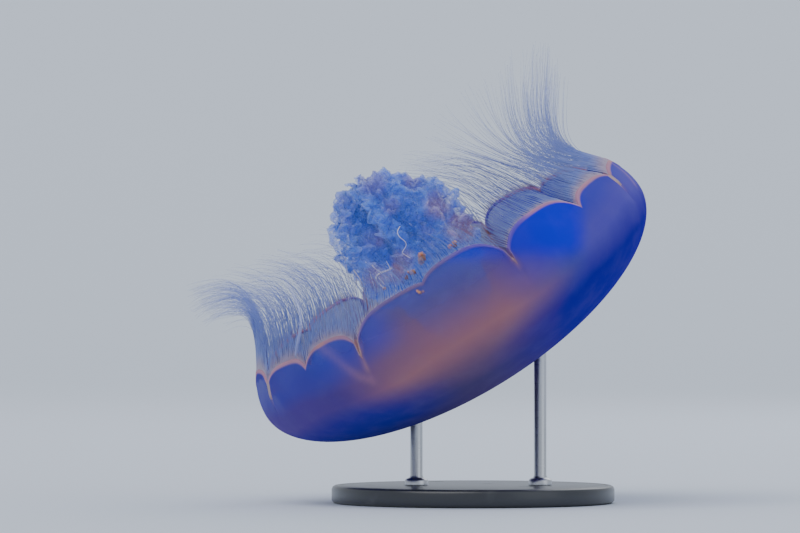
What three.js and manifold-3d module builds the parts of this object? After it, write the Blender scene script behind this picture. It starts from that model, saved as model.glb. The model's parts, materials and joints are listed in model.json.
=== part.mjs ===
// A moon jellyfish (Aurelia), life size, turned over and banked on a plain display stand.
// Millimetres, +Z up. The origin is the centre of the underside of the stand's base.
//
// The animal is modelled in a frame of its own: the origin is the middle of the bell's
// opening, +Z points out of the mouth, and the crown lies below. A bearing is an angle
// round that +Z: 0 faces the viewer along -Y, and it grows towards +X.
import * as THREE from "three";
import { mergeVertices } from "three/addons/utils/BufferGeometryUtils.js";
import Module from "manifold-3d";

// ---------------------------------------------------------------- driving dimensions
const GAP = 0.3; // left between pieces that touch

// Bell: two elliptic arcs outside, one inside.
const BELL_RADIUS = 124; // at the widest ring
const WIDEST_Z = -27; // height of the widest ring
const CROWN_DEPTH = 52.5; // from the widest ring down to the apex
const CURL_DEPTH = 66; // semi-axis of the arc along which the rim curls in
const LINING_RADIUS = 113; // of the underside at the widest ring
const LINING_DEPTH = 27; // from the widest ring down to the roof of the hollow
const JOIN_Z = -22; // where the bell ends and the margin's lobes begin
const CANAL_COUNT = 16;
const CANAL_HEIGHT = 0.7; // of the radial canals, raised on the underside
const CANAL_START = 50; // radius where the canals leave the stomach

// Margin: eight lobes between the deep notches, each with a shallow notch in the middle.
const LOBE_COUNT = 8;
const NOTCH_BEARINGS = [
  -71, -48.5, -29.2, -4.9, 19.3, 46.2, 69, 92, 115, 138, 160, 181, 202, 224, 247, 268,
];
const CREST_HEIGHTS = [-1, 0, 3, 6, 2, -3, -4, -3, -2, 0, 0, 1, -1, -2, -2, -1];
const DEEP_NOTCH_Z = -9; // mouth of the slot in a deep notch
const SLOT_FOOT_Z = -16;
const SLOT_HALF = [1.6, 3]; // half width of the slot, at its foot and at its mouth
const SHALLOW_NOTCH_HEIGHTS = [-7.4, 1.5, -10.5, -10, -6, -5, -4.5, -8]; // lobe by lobe
const EDGE_WALL = 2.4; // thickness of the margin
const BEAD = 0.6; // extra thickness of the bead along the margin
const LIP_WALL = 1.3; // thickness at the very edge
const RHOPALIUM_RADIUS = 1.5; // sense organ in each deep notch

// Tentacles
const TENTACLES_PER_SCALLOP = 6;
const TENTACLE_LENGTH = 76;
const TENTACLE_ROOT = 0.62; // radius at the root
const TENTACLE_TIP = 0.24;
const TENTACLE_STEPS = 8;
const TENTACLE_SINK = 2.5; // how far a root is sunk into the margin
const TENTACLE_SPAN = [0.13, 0.93]; // shares of a scallop that the roots cover
const LENGTH_RANGE = [0.82, 1.08]; // of one tentacle, as shares of its neighbours' length

// How the water draws the tentacles round the margin. At each bearing: how far a root leans
// inwards, the heading of the far end in the animal's frame, the shares of a tentacle between
// which it turns to that heading, and its length as a share of TENTACLE_LENGTH.
const CURRENTS = [
  { bearing: -90, lean: 0.58, end: [-1, 0, 0.01], turn: [0.16, 1.12], length: 1.02 },
  { bearing: -45, lean: 0.62, end: [-0.76, 0.06, 0.65], turn: [0.3, 1], length: 0.86 },
  { bearing: 0, lean: 2, end: [-0.32, 0.61, 0.73], turn: [0.2, 0.9], length: 0.4 },
  { bearing: 42, lean: 1.3, end: [-0.45, 0.53, 0.72], turn: [0.25, 0.95], length: 0.56 },
  { bearing: 68, lean: 1.2, end: [0.42, 0.18, 0.89], turn: [0.16, 0.8], length: 1 },
  { bearing: 90, lean: 0.95, end: [0.62, 0.07, 0.78], turn: [0.06, 0.66], length: 1.15 },
  { bearing: 114, lean: 1.1, end: [0.48, 0.18, 0.86], turn: [0.2, 0.8], length: 1.08 },
  { bearing: 140, lean: 0.95, end: [-0.79, 0.15, 0.59], turn: [0.2, 1], length: 1 },
  { bearing: 180, lean: 0.6, end: [-0.84, 0.24, 0.49], turn: [0.2, 1], length: 0.64 },
  { bearing: 225, lean: 0.42, end: [-0.87, 0.14, 0.47], turn: [0.1, 1], length: 0.74 },
];

// Mouth, oral arms and gonads
const MOUTH_RADIUS = 15;
const MOUTH_TOP_Z = -46.4;
const MOUTH_CORNER = 0.14; // how far the pad's four corners stand out, as a share
const MOUTH_SLOT = { width: 2.2, length: 12, depth: 3 };
const ARM_COUNT = 4;
const ARM_BEARING = 15; // of the first arm
const ARM_STEPS = 34;
const ARM_TOP_Z = 57;
const ARM_SPLIT_Z = 5; // where each arm is parted into two lengths
const FRILL_STATIONS = [-1, -0.78, -0.42, 0, 0.42, 0.78, 1]; // across an arm, keel at 0
const ARM_KEEL = [8, 11, 13, 11, 5]; // radius of the keel, from root to tip
const ARM_FLARE = [6, 14, 24, 25, 12]; // how far the frills stand out from the keel
const ARM_SPREAD = 27; // half angle between the two frills, in degrees
const ARM_KEEL_WALL = 4.2;
const ARM_FRILL_WALL = 1.1;
const RUFFLE_COUNT = 6.5; // waves along a frill
const RUFFLE_DEPTH = 4.2;
const ARM_DRIFT = -11; // how far the arms' tips are drawn along X
const GONAD_RING = 33; // radius on which the four gonads stand
const GONAD_RADIUS = 12.5; // of each horseshoe
const GONAD_WIDTH = 7.5;
const GONAD_HEIGHT = 4;
const GONAD_SWEEP = 142; // half the turn of a horseshoe
const GONAD_FOLDS = 9;

// Pose and stand
const BANK = -31.6; // degrees about Y, which lifts the bell's right side
const PITCH = 5; // degrees about X, which turns the opening to the viewer
const OPENING_CENTRE = new THREE.Vector3(-25.5, -4, 137);
const BASE_RADIUS = 80;
const BASE_HEIGHT = 10;
const BASE_BEVEL = 1.5;
const ROD_RADIUS = 3.5;
const ROD_PLACES = { stand_rod_left: -32, stand_rod_right: 38 };

// ---------------------------------------------------------------- materials
const plain = (color, roughness, metalness = 0) =>
  new THREE.MeshStandardMaterial({ color, roughness, metalness });
const JELLY = plain("#3f49a0", 0.25);
const MARGIN = plain("#c9a08c", 0.35);
const FRILL = plain("#5b78d8", 0.4);
const GONAD = plain("#b0708a", 0.45);
const SENSE_ORGAN = plain("#e0b79a", 0.4);
const BASE = plain("#2b2d33", 0.5);
const STEEL = plain("#b9bcc2", 0.3, 1);

// ---------------------------------------------------------------- small helpers
const { lerp, clamp, smoothstep, degToRad, radToDeg, euclideanModulo } = THREE.MathUtils;

// A number from 0 to 1 that depends only on the seed.
function noise(seed) {
  const s = Math.sin(seed * 127.1 + 11.7) * 43758.5453;
  return s - Math.floor(s);
}

// Value at share (0 to 1) of a list of evenly spaced values, smoothly joined.
function along(values, share) {
  const at = clamp(share, 0, 1) * (values.length - 1);
  const low = Math.min(Math.floor(at), values.length - 2);
  return lerp(values[low], values[low + 1], smoothstep(at - low, 0, 1));
}

const onBearing = (bearing, radius, z) =>
  new THREE.Vector3(radius * Math.sin(bearing), -radius * Math.cos(bearing), z);

// A closed sheet with two faces. place(u, v, side) gives a point of face side, 0 or 1.
// Both faces are split into triangles alike, so thin sheets that curve never cross.
function sheetGeometry(us, vs, place) {
  const columns = vs.length;
  const faceSize = us.length * columns;
  const positions = [];
  for (const side of [0, 1])
    for (const u of us) for (const v of vs) positions.push(...place(u, v, side).toArray());
  const triangles = [];
  const quad = (a, b, c, d) => triangles.push(a, b, d, b, c, d);
  const at = (i, j, side) => side * faceSize + i * columns + j;
  for (let i = 0; i + 1 < us.length; i++)
    for (let j = 0; j + 1 < columns; j++) {
      const [a, b, c, d] = [at(i, j, 0), at(i + 1, j, 0), at(i + 1, j + 1, 0), at(i, j + 1, 0)];
      quad(a, b, c, d);
      triangles.push(a + faceSize, d + faceSize, b + faceSize);
      triangles.push(b + faceSize, d + faceSize, c + faceSize);
    }
  const rim = [];
  for (let i = 0; i + 1 < us.length; i++) rim.push([i, 0]);
  for (let j = 0; j + 1 < columns; j++) rim.push([us.length - 1, j]);
  for (let i = us.length - 1; i > 0; i--) rim.push([i, columns - 1]);
  for (let j = columns - 1; j > 0; j--) rim.push([0, j]);
  rim.forEach(([i, j], k) => {
    const [m, n] = rim[(k + 1) % rim.length];
    quad(at(i, j, 0), at(i, j, 1), at(m, n, 1), at(m, n, 0));
  });
  const geometry = new THREE.BufferGeometry();
  geometry.setAttribute("position", new THREE.Float32BufferAttribute(positions, 3));
  geometry.setIndex(triangles);
  return geometry;
}

const evenly = (count, from = 0, to = 1) =>
  Array.from({ length: count + 1 }, (_, i) => lerp(from, to, i / count));

// ---------------------------------------------------------------- joining and cutting
const wasm = await Module();
wasm.setup();

function toSolid(geometry, matrix = new THREE.Matrix4()) {
  const bare = new THREE.BufferGeometry();
  bare.setAttribute("position", geometry.getAttribute("position").clone());
  bare.setIndex(geometry.index ? geometry.index.clone() : null);
  const merged = mergeVertices(bare.applyMatrix4(matrix), 1e-3);
  const solid = new wasm.Manifold(
    new wasm.Mesh({
      numProp: 3,
      vertProperties: merged.attributes.position.array,
      triVerts: new Uint32Array(merged.index.array),
    }),
  );
  return solid;
}

function toGeometry(solid) {
  const { vertProperties, triVerts } = solid.getMesh();
  const geometry = new THREE.BufferGeometry();
  geometry.setAttribute("position", new THREE.BufferAttribute(vertProperties, 3));
  geometry.setIndex(new THREE.BufferAttribute(triVerts, 1));
  return geometry;
}

const largest = (solid) =>
  solid.decompose().reduce((best, body) => (body.volume() > best.volume() ? body : best));

function fuse(geometries) {
  const [first, ...others] = geometries.map((geometry) => toSolid(geometry));
  return toGeometry(largest(others.reduce((joined, other) => joined.add(other), first)));
}

// ---------------------------------------------------------------- bell
function outerRadius(z) {
  const share = (z - WIDEST_Z) / (z < WIDEST_Z ? CROWN_DEPTH : CURL_DEPTH);
  return BELL_RADIUS * Math.sqrt(Math.max(0, 1 - share * share));
}

const liningZ = (radius) =>
  WIDEST_Z - LINING_DEPTH * Math.sqrt(Math.max(0, 1 - (radius / LINING_RADIUS) ** 2));

// Thickness of the bell's side between the widest ring and the margin.
const sideWall = (z) =>
  lerp(BELL_RADIUS - LINING_RADIUS, EDGE_WALL, smoothstep(z, WIDEST_Z, 0));

// Closed profile from the apex, out and up to the join, and back in along the lining.
function bellProfile(skin = 0) {
  const quarter = Math.PI / 2;
  const outside = evenly(9, 0, quarter).map(
    (t) =>
      new THREE.Vector2(
        (BELL_RADIUS + skin) * Math.sin(t),
        WIDEST_Z - (CROWN_DEPTH + skin) * Math.cos(t),
      ),
  );
  outside.push(new THREE.Vector2(outerRadius(JOIN_Z) + skin, JOIN_Z));
  const inside = evenly(7, quarter, 0).map(
    (t) => new THREE.Vector2(LINING_RADIUS * Math.sin(t), WIDEST_Z - LINING_DEPTH * Math.cos(t)),
  );
  inside.unshift(new THREE.Vector2(outerRadius(JOIN_Z) - sideWall(JOIN_Z), JOIN_Z));
  return { outside, inside };
}

function bellGeometry(skin = 0) {
  const { outside, inside } = bellProfile(skin);
  const profile = [...outside, ...inside];
  const segments = CANAL_COUNT * 3;
  const geometry = new THREE.LatheGeometry(profile, segments);
  geometry.rotateX(Math.PI / 2);
  const position = geometry.getAttribute("position");
  for (let i = 0; i < position.count; i++) {
    const onLining = i % profile.length > outside.length;
    const radius = Math.hypot(position.getX(i), position.getY(i));
    if (!onLining || radius < CANAL_START) continue;
    const turn = Math.atan2(position.getY(i), position.getX(i)) / (2 * Math.PI);
    const ridge = Math.max(0, Math.cos(2 * Math.PI * turn * CANAL_COUNT));
    position.setZ(i, position.getZ(i) + CANAL_HEIGHT * ridge);
  }
  return geometry;
}

// ---------------------------------------------------------------- margin
// Scallop s: the bearings of the notches either side, and the heights of crest and notch.
function scallop(s) {
  const start = NOTCH_BEARINGS[s];
  const end = NOTCH_BEARINGS[s + 1] ?? NOTCH_BEARINGS[0] + 360;
  return {
    start: degToRad(start),
    end: degToRad(end),
    crest: CREST_HEIGHTS[s],
    shallow: SHALLOW_NOTCH_HEIGHTS[Math.floor(s / 2)],
    startsDeep: s % 2 === 0,
  };
}

// Height of the margin at share q of a scallop, counted from its deep notch.
function marginZ(shape, q) {
  const arc = (shape.end - shape.start) * BELL_RADIUS;
  const foot = SLOT_HALF[0] / arc;
  const fromSlot = 1 - clamp((q - foot) / (1 - foot), 0, 1);
  const deepDrop = (shape.crest - DEEP_NOTCH_Z) * fromSlot ** 7;
  const shallowDrop = (shape.crest - shape.shallow) * q ** 9;
  const slot = (DEEP_NOTCH_Z - SLOT_FOOT_Z) * (1 - smoothstep(q * arc, ...SLOT_HALF));
  return shape.crest - deepDrop - slot - shallowDrop;
}

// Bearing at share q of a scallop, counted from its deep notch.
const scallopBearing = (shape, q) => lerp(shape.start, shape.end, shape.startsDeep ? q : 1 - q);

function lobeGeometry(lobe) {
  const edgeGap = GAP / 2 / BELL_RADIUS;
  const halfStations = [0, 0.035, 0.06, 0.12, 0.22, 0.4, 0.68, 0.88, 1];
  const stations = halfStations.map((q) => ({ shape: scallop(2 * lobe), q }));
  const rest = halfStations.slice(0, -1).reverse();
  stations.push(...rest.map((q) => ({ shape: scallop(2 * lobe + 1), q })));
  const heights = [0, 0.45, 0.84, 0.95, 1];
  return sheetGeometry(
    stations.map((_, i) => i),
    heights,
    (i, v, side) => {
      const { shape, q } = stations[i];
      const inset = i === 0 ? edgeGap : i === stations.length - 1 ? -edgeGap : 0;
      const bearing = scallopBearing(shape, q) + inset;
      const z = lerp(JOIN_Z + GAP, marginZ(shape, q), v);
      const thinning = lerp(sideWall(z), EDGE_WALL, v) + (v > 0.9 ? BEAD : 0);
      const wall = v === 1 ? LIP_WALL : thinning;
      const middle = outerRadius(z) - lerp(sideWall(z), EDGE_WALL, v) / 2;
      return onBearing(bearing, middle + (side === 0 ? wall / 2 : -wall / 2), z);
    },
  );
}

// The current at a bearing, between the two listed on either side of it.
function currentAt(bearing) {
  const first = CURRENTS[0];
  const turn = first.bearing + euclideanModulo(radToDeg(bearing) - first.bearing, 360);
  const place = CURRENTS.findLastIndex((current) => current.bearing <= turn);
  const low = CURRENTS[place];
  const high = CURRENTS[place + 1] ?? { ...first, bearing: first.bearing + 360 };
  const share = smoothstep(turn, low.bearing, high.bearing);
  return {
    lean: lerp(low.lean, high.lean, share),
    end: new THREE.Vector3(...low.end).lerp(new THREE.Vector3(...high.end), share).normalize(),
    turn: [0, 1].map((k) => lerp(low.turn[k], high.turn[k], share)),
    length: TENTACLE_LENGTH * lerp(low.length, high.length, share),
  };
}

function tentacleCurve(shape, q, seed) {
  const bearing = scallopBearing(shape, q);
  const edgeZ = marginZ(shape, q);
  const middle = (z) => outerRadius(z) - EDGE_WALL / 2;
  const current = currentAt(bearing);
  const start = onBearing(bearing, -current.lean, 1).normalize();
  const length = current.length * lerp(...LENGTH_RANGE, noise(seed));
  const points = [
    onBearing(bearing, middle(edgeZ - TENTACLE_SINK), edgeZ - TENTACLE_SINK),
    onBearing(bearing, middle(edgeZ), edgeZ),
  ];
  const steps = 6;
  const swing = new THREE.Vector3(-Math.cos(bearing), -Math.sin(bearing), 0.3);
  const heading = new THREE.Vector3();
  const point = points[1].clone();
  for (let i = 1; i <= steps; i++) {
    const turned = smoothstep((i - 0.5) / steps, ...current.turn);
    heading.lerpVectors(start, current.end, turned).normalize();
    point.addScaledVector(heading, length / steps);
    const wave = 1.1 * Math.sin(i * 1.9 + 1.3 * seed) * (i / steps);
    points.push(point.clone().addScaledVector(swing, wave));
  }
  return new THREE.CatmullRomCurve3(points, false, "centripetal");
}

// A tapered rod of a few sides, bent along a curve.
function strandGeometry(curve, rootRadius, tipRadius, sides, steps) {
  const geometry = new THREE.CylinderGeometry(tipRadius, rootRadius, 1, sides, steps);
  const frames = curve.computeFrenetFrames(steps, false);
  const position = geometry.getAttribute("position");
  const spine = evenly(steps).map((share) => curve.getPointAt(share));
  for (let i = 0; i < position.count; i++) {
    const step = Math.round((position.getY(i) + 0.5) * steps);
    const point = spine[step]
      .clone()
      .addScaledVector(frames.normals[step], position.getZ(i))
      .addScaledVector(frames.binormals[step], position.getX(i));
    position.setXYZ(i, ...point.toArray());
  }
  return geometry;
}

function tentacleGeometries(lobe) {
  const made = [];
  for (const s of [2 * lobe, 2 * lobe + 1])
    for (let t = 0; t < TENTACLES_PER_SCALLOP; t++) {
      const q = lerp(...TENTACLE_SPAN, t / (TENTACLES_PER_SCALLOP - 1));
      const curve = tentacleCurve(scallop(s), q, s * TENTACLES_PER_SCALLOP + t);
      made.push(strandGeometry(curve, TENTACLE_ROOT, TENTACLE_TIP, 3, TENTACLE_STEPS));
    }
  return made;
}

function rhopaliumGeometry(lobe) {
  const shape = scallop(2 * lobe);
  const z = SLOT_FOOT_Z + GAP + RHOPALIUM_RADIUS;
  const place = onBearing(shape.start, outerRadius(z) - sideWall(z) / 2, z);
  return new THREE.SphereGeometry(RHOPALIUM_RADIUS, 6, 4)
    .rotateX(Math.PI / 2)
    .translate(...place.toArray());
}

// ---------------------------------------------------------------- mouth, arms, gonads
// A four-cornered pad under the roof of the hollow, with the cross of the mouth cut into it.
function mouthGeometry() {
  const rings = 3;
  const profile = [
    ...evenly(rings).map((share) => {
      const radius = MOUTH_RADIUS * share;
      return new THREE.Vector2(radius, liningZ(radius) + GAP);
    }),
    new THREE.Vector2(MOUTH_RADIUS * 0.86, lerp(liningZ(0), MOUTH_TOP_Z, 0.6)),
    new THREE.Vector2(MOUTH_RADIUS * 0.92, MOUTH_TOP_Z),
    new THREE.Vector2(0, MOUTH_TOP_Z),
  ];
  const pad = new THREE.LatheGeometry(profile, 32).rotateX(Math.PI / 2);
  const position = pad.getAttribute("position");
  for (let i = 0; i < position.count; i++) {
    const turn = Math.atan2(position.getX(i), -position.getY(i)) - degToRad(ARM_BEARING);
    const corner = 1 + MOUTH_CORNER * Math.cos(ARM_COUNT * turn);
    position.setXY(i, position.getX(i) * corner, position.getY(i) * corner);
  }
  const { width, length, depth } = MOUTH_SLOT;
  const cuts = [0, 90].map((turn) =>
    new THREE.BoxGeometry(width, length, 2 * depth)
      .rotateZ(degToRad(ARM_BEARING + turn))
      .translate(0, 0, MOUTH_TOP_Z),
  );
  const cut = cuts.reduce((solid, box) => solid.subtract(toSolid(box)), toSolid(pad));
  return toGeometry(largest(cut));
}

// Middle surface of an arm: share runs from root to tip, side from one frill to the other.
function armPoint(arm, share, side) {
  const across = Math.abs(side);
  const stand = along(ARM_FLARE, share) * across ** 1.3;
  const phase = 2 * Math.PI * (RUFFLE_COUNT * share + noise(arm * 7 + Math.sign(side)));
  const ruffle = RUFFLE_DEPTH * across ** 2 * smoothstep(share, 0, 0.25);
  const radius = along(ARM_KEEL, share) + stand + 0.35 * ruffle * Math.sin(phase * 1.7);
  const sweep = degToRad(ARM_SPREAD) * side + (ruffle / Math.max(radius, 14)) * Math.sin(phase);
  const bearing = degToRad(ARM_BEARING + (360 / ARM_COUNT) * arm) + sweep;
  const droop = 6 * across * share * noise(arm * 3 + 5);
  const z = lerp(MOUTH_TOP_Z + GAP, ARM_TOP_Z, share) - droop + 0.3 * ruffle * Math.cos(phase);
  const point = onBearing(bearing, radius, share === 0 ? MOUTH_TOP_Z + GAP : z);
  point.x += ARM_DRIFT * share ** 2;
  return point;
}

function armGeometry(arm) {
  const nudge = 1e-3;
  return sheetGeometry(evenly(ARM_STEPS), FRILL_STATIONS, (u, v, side) => {
    const middle = armPoint(arm, u, v);
    const lengthwise = armPoint(arm, u + nudge, v).sub(armPoint(arm, u - nudge, v));
    const crosswise = armPoint(arm, u, v + nudge).sub(armPoint(arm, u, v - nudge));
    const normal = lengthwise.cross(crosswise).normalize();
    if (u === 0) normal.setZ(0).normalize();
    const wall = lerp(ARM_KEEL_WALL * lerp(1, 0.5, u), ARM_FRILL_WALL, Math.abs(v) ** 0.7);
    return middle.addScaledVector(normal, side === 0 ? wall / 2 : -wall / 2);
  });
}

// An arm in two lengths, parted by a level cut.
function armLengths(arm) {
  const slab = new THREE.BoxGeometry(200, 200, GAP).translate(0, 0, ARM_SPLIT_Z);
  const pieces = toSolid(armGeometry(arm)).subtract(toSolid(slab)).decompose();
  const bySize = pieces.sort((a, b) => b.volume() - a.volume());
  const isRoot = (piece) => piece.boundingBox().max[2] < ARM_SPLIT_Z;
  return [bySize.find(isRoot), bySize.find((piece) => !isRoot(piece))].map(toGeometry);
}

// A horseshoe that lies on the roof of the hollow, open towards the mouth.
function gonadGeometry(gonad) {
  const bearing = degToRad(ARM_BEARING + 45 + (360 / ARM_COUNT) * gonad);
  const centre = onBearing(bearing, GONAD_RING, 0);
  const halfSweep = degToRad(GONAD_SWEEP);
  return sheetGeometry(evenly(14, -halfSweep, halfSweep), evenly(3, -1, 1), (turn, across, side) => {
    const fold = 1 + 0.12 * Math.cos(GONAD_FOLDS * turn);
    const radius = GONAD_RADIUS + (GONAD_WIDTH / 2) * fold * across;
    const point = onBearing(bearing + turn, radius, 0).add(centre);
    const crown = 0.5 + GONAD_HEIGHT * fold * (1 - across ** 2);
    point.z = liningZ(Math.hypot(point.x, point.y)) + GAP + (side === 1 ? crown : 0);
    return point;
  });
}

// ---------------------------------------------------------------- stand
function baseGeometry() {
  const top = BASE_HEIGHT;
  const profile = [
    [0, 0],
    [BASE_RADIUS, 0],
    [BASE_RADIUS, top - BASE_BEVEL],
    [BASE_RADIUS - BASE_BEVEL, top],
    [0, top],
  ].map(([radius, z]) => new THREE.Vector2(radius, z));
  return new THREE.LatheGeometry(profile, 48).rotateX(Math.PI / 2);
}

// A rod from the base up into the bell, cut off where it meets the crown's skin.
function rodGeometry(x, animalMatrix) {
  const foot = BASE_HEIGHT + GAP;
  const reach = OPENING_CENTRE.z - foot;
  const rod = new THREE.CylinderGeometry(ROD_RADIUS, ROD_RADIUS, reach, 20)
    .rotateX(Math.PI / 2)
    .translate(x, 0, foot + reach / 2);
  const bell = toSolid(bellGeometry(GAP), animalMatrix);
  const pieces = toSolid(rod).subtract(bell).decompose();
  return toGeometry(pieces.find((piece) => piece.boundingBox().min[2] < foot + GAP));
}

// ---------------------------------------------------------------- assembly
function named(name, geometry, material) {
  const mesh = new THREE.Mesh(geometry, material);
  mesh.name = name;
  return mesh;
}

const animal = new THREE.Group();
animal.rotation.set(degToRad(PITCH), degToRad(BANK), 0, "YXZ");
animal.position.copy(OPENING_CENTRE);
animal.updateMatrixWorld(true);

animal.add(named("bell", bellGeometry(), JELLY));
for (let lobe = 0; lobe < LOBE_COUNT; lobe++) {
  const fringe = fuse([lobeGeometry(lobe), ...tentacleGeometries(lobe)]);
  animal.add(named(`margin_lobe_${lobe + 1}`, fringe, MARGIN));
  animal.add(named(`rhopalium_${lobe + 1}`, rhopaliumGeometry(lobe), SENSE_ORGAN));
}
animal.add(named("mouth", mouthGeometry(), FRILL));
for (let arm = 0; arm < ARM_COUNT; arm++) {
  const [root, tip] = armLengths(arm);
  animal.add(named(`oral_arm_${arm + 1}_root`, root, FRILL));
  animal.add(named(`oral_arm_${arm + 1}_tip`, tip, FRILL));
  animal.add(named(`gonad_${arm + 1}`, gonadGeometry(arm), GONAD));
}

const stand = new THREE.Group();
stand.add(named("stand_base", baseGeometry(), BASE));
for (const [name, x] of Object.entries(ROD_PLACES))
  stand.add(named(name, rodGeometry(x, animal.matrixWorld), STEEL));

const jellyfish = new THREE.Group();
jellyfish.add(animal, stand);
export default jellyfish;
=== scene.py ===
"""A moon jellyfish on a display stand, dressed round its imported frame.

Lengths are metres. The animal is modelled in a frame of its own and then set in its pose: the
origin is the middle of the bell's opening, +Z points out of the mouth, and the crown lies below.
A bearing is an angle round that +Z: 0 faces the viewer along -Y, and it grows towards +X.
"""

import json
import math
from contextlib import contextmanager

import bpy
import numpy as np
from bpy.props import FloatProperty, FloatVectorProperty, IntProperty, PointerProperty
from mathutils import Euler, Matrix, Vector

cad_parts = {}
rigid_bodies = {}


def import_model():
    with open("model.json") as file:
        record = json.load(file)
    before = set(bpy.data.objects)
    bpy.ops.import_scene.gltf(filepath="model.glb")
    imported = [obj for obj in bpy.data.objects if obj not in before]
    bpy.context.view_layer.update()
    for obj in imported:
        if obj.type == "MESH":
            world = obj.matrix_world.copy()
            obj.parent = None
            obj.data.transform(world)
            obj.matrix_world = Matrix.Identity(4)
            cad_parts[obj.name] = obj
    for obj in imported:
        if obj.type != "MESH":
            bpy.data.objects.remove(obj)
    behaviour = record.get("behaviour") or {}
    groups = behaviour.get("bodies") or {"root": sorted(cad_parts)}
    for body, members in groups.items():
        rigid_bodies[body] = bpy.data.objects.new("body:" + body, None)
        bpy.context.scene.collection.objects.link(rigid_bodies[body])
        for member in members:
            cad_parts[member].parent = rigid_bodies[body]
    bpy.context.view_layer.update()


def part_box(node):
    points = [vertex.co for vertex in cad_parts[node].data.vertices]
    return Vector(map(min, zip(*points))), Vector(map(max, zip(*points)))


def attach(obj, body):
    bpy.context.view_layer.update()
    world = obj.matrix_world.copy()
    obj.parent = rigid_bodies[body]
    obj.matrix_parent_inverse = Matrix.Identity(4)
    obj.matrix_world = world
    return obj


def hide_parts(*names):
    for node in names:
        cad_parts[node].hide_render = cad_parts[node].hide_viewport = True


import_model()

bl_info = {
    "name": "Moon Jellyfish",
    "version": (1, 0, 0),
    "blender": (4, 5, 0),
    "location": "View3D > Sidebar > Jellyfish",
    "description": "Builds a moon jellyfish on a display stand",
    "category": "Add Mesh",
}

MM = 0.001
BAKE_MAP = "OFBake"

# Margin: sixteen scallops between deep notches (even places) and shallow ones (odd places), in
# degrees and in millimetres above the middle of the opening.
NOTCH_BEARINGS = (
    -71, -48.5, -29.2, -4.9, 19.3, 46.2, 69, 92, 115, 138, 160, 181, 202, 224, 247, 268,
)
CREST_HEIGHTS = (-1, 0, 3, 6, 2, -3, -4, -3, -2, 0, 0, 1, -1, -2, -2, -1)
SHALLOW_NOTCH_HEIGHTS = (-7.4, 1.5, -10.5, -10, -6, -5, -4.5, -8)
FOLD_FEET = (-18, -24, -17.5, -19, -19, -18, -20, -18)  # where each deep notch's crease ends
# Canals seen through the side: bearings and heights along each.
LOBE_LINES = (
    ((-41.5, -1.5), (-38.5, -7), (-36, -13), (-34, -19), (-32, -26), (-29, -32)),
    ((85, -3), (82, -9), (80, -16), (78, -24)),
    ((172, -2), (169, -9), (167, -16), (166, -24)),
)
# How the water draws the tentacles round the margin: bearing, inward lean of the root, heading
# of the far end, start and end of the turn, and length as a share of the full length.
CURRENTS = (
    (-90, 0.58, -1.00, 0.00, 0.01, 0.16, 1.12, 1.02),
    (-45, 0.62, -0.76, 0.06, 0.65, 0.30, 1.00, 0.86),
    (0, 2.00, -0.32, 0.61, 0.73, 0.20, 0.90, 0.40),
    (42, 1.30, -0.45, 0.53, 0.72, 0.25, 0.95, 0.56),
    (68, 1.20, 0.38, 0.18, 0.91, 0.20, 0.85, 1.03),
    (90, 0.95, 0.60, 0.07, 0.79, 0.13, 0.74, 1.19),
    (114, 1.10, 0.42, 0.18, 0.89, 0.25, 0.86, 1.11),
    (140, 0.95, -0.79, 0.15, 0.59, 0.20, 1.00, 1.00),
    (180, 0.60, -0.84, 0.24, 0.49, 0.20, 1.00, 0.64),
    (225, 0.42, -0.87, 0.14, 0.47, 0.10, 1.00, 0.74),
)
SCALLOP_COUNT = len(NOTCH_BEARINGS)
LOBE_COUNT = SCALLOP_COUNT // 2
NOTCHES = np.radians([*NOTCH_BEARINGS, NOTCH_BEARINGS[0] + 360])
DEEP_NOTCH_POWER = 7
SHALLOW_NOTCH_POWER = 9
# Shares of a scallop, from its deep notch, at which the margin is given a station.
MARGIN_SHARES = (
    0, 0.014, 0.028, 0.042, 0.056, 0.07, 0.085, 0.1, 0.12, 0.145, 0.175, 0.21, 0.25, 0.3, 0.35,
    0.41, 0.47, 0.53, 0.59, 0.65, 0.71, 0.77, 0.82, 0.86, 0.9, 0.93, 0.955, 0.975, 0.99, 1,
)

# Rings of the bell, from its apex over the margin to the middle of its lining.
CROWN_RINGS = 35
WALL_STEPS = (*range(27, 5, -1), 4.8, 3.6, 2.7, 2, 1.4, 0.9, 0.5, 0.2, 0)
LINING_RINGS = 29
FAR_FROM_EDGE = 0.05
BEAD_BELOW_EDGE = 1.2 * MM
BEAD_HALF_WIDTH = 1.3 * MM
FOLD_HALF_WIDTH = 2.2 * MM
FOLD_LOW, FOLD_HIGH = -0.034, -0.020
FOLD_SHARE_INSIDE = 0.35
CREASE_STRENGTH = 0.9
LOBE_LINE_STRENGTH = 0.55
FAR_CANAL_STRENGTH = 0.30
LINE_HALF_WIDTH = 0.0016  # of a crease or canal drawn on the jelly
LOBE_LINE_HALF_WIDTH = 0.0026

NOTCH_LEAN = 0.30  # how far a tentacle next to a deep notch leans over it
NOTCH_REACH = 0.09  # share of a scallop over which they do
STRAND_EASE = 1.35  # above 1 sets a strand's rings closest together at its root
BULB_REACH = 0.035  # share of a strand over which its root is swollen
ACROSS_STRAND = (0.35, 0.81, 0.47)  # any direction that no strand follows
FILAMENT_RADII = (0.00015, 0.00005)
FILAMENT_STEPS = 6

ARM_COUNT = 4
ARM_LENGTHS = ("root", "tip")
KEEL = (8, 11, 13, 11, 5)  # millimetres from the axis, from root to tip
FLARE = (6, 12, 21, 25, 12)  # millimetres that a frill stands out from the keel
# Sheets of an arm: faces along it, faces across, and reach as a share of the widest sheet's.
LAYERS = ((360, 44, 1.0), (330, 38, 0.80), (300, 30, 0.60), (240, 22, 0.38))
# Waves of a frill: turns along it, lumps in their drift, share of the ruffle, and how steeply
# they grow towards the lip.
FRILL_WAVES = ((8, 1, 0.62, 2), (23, 2.3, 0.38, 3), (56, 4.1, 0.13, 4))
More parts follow.
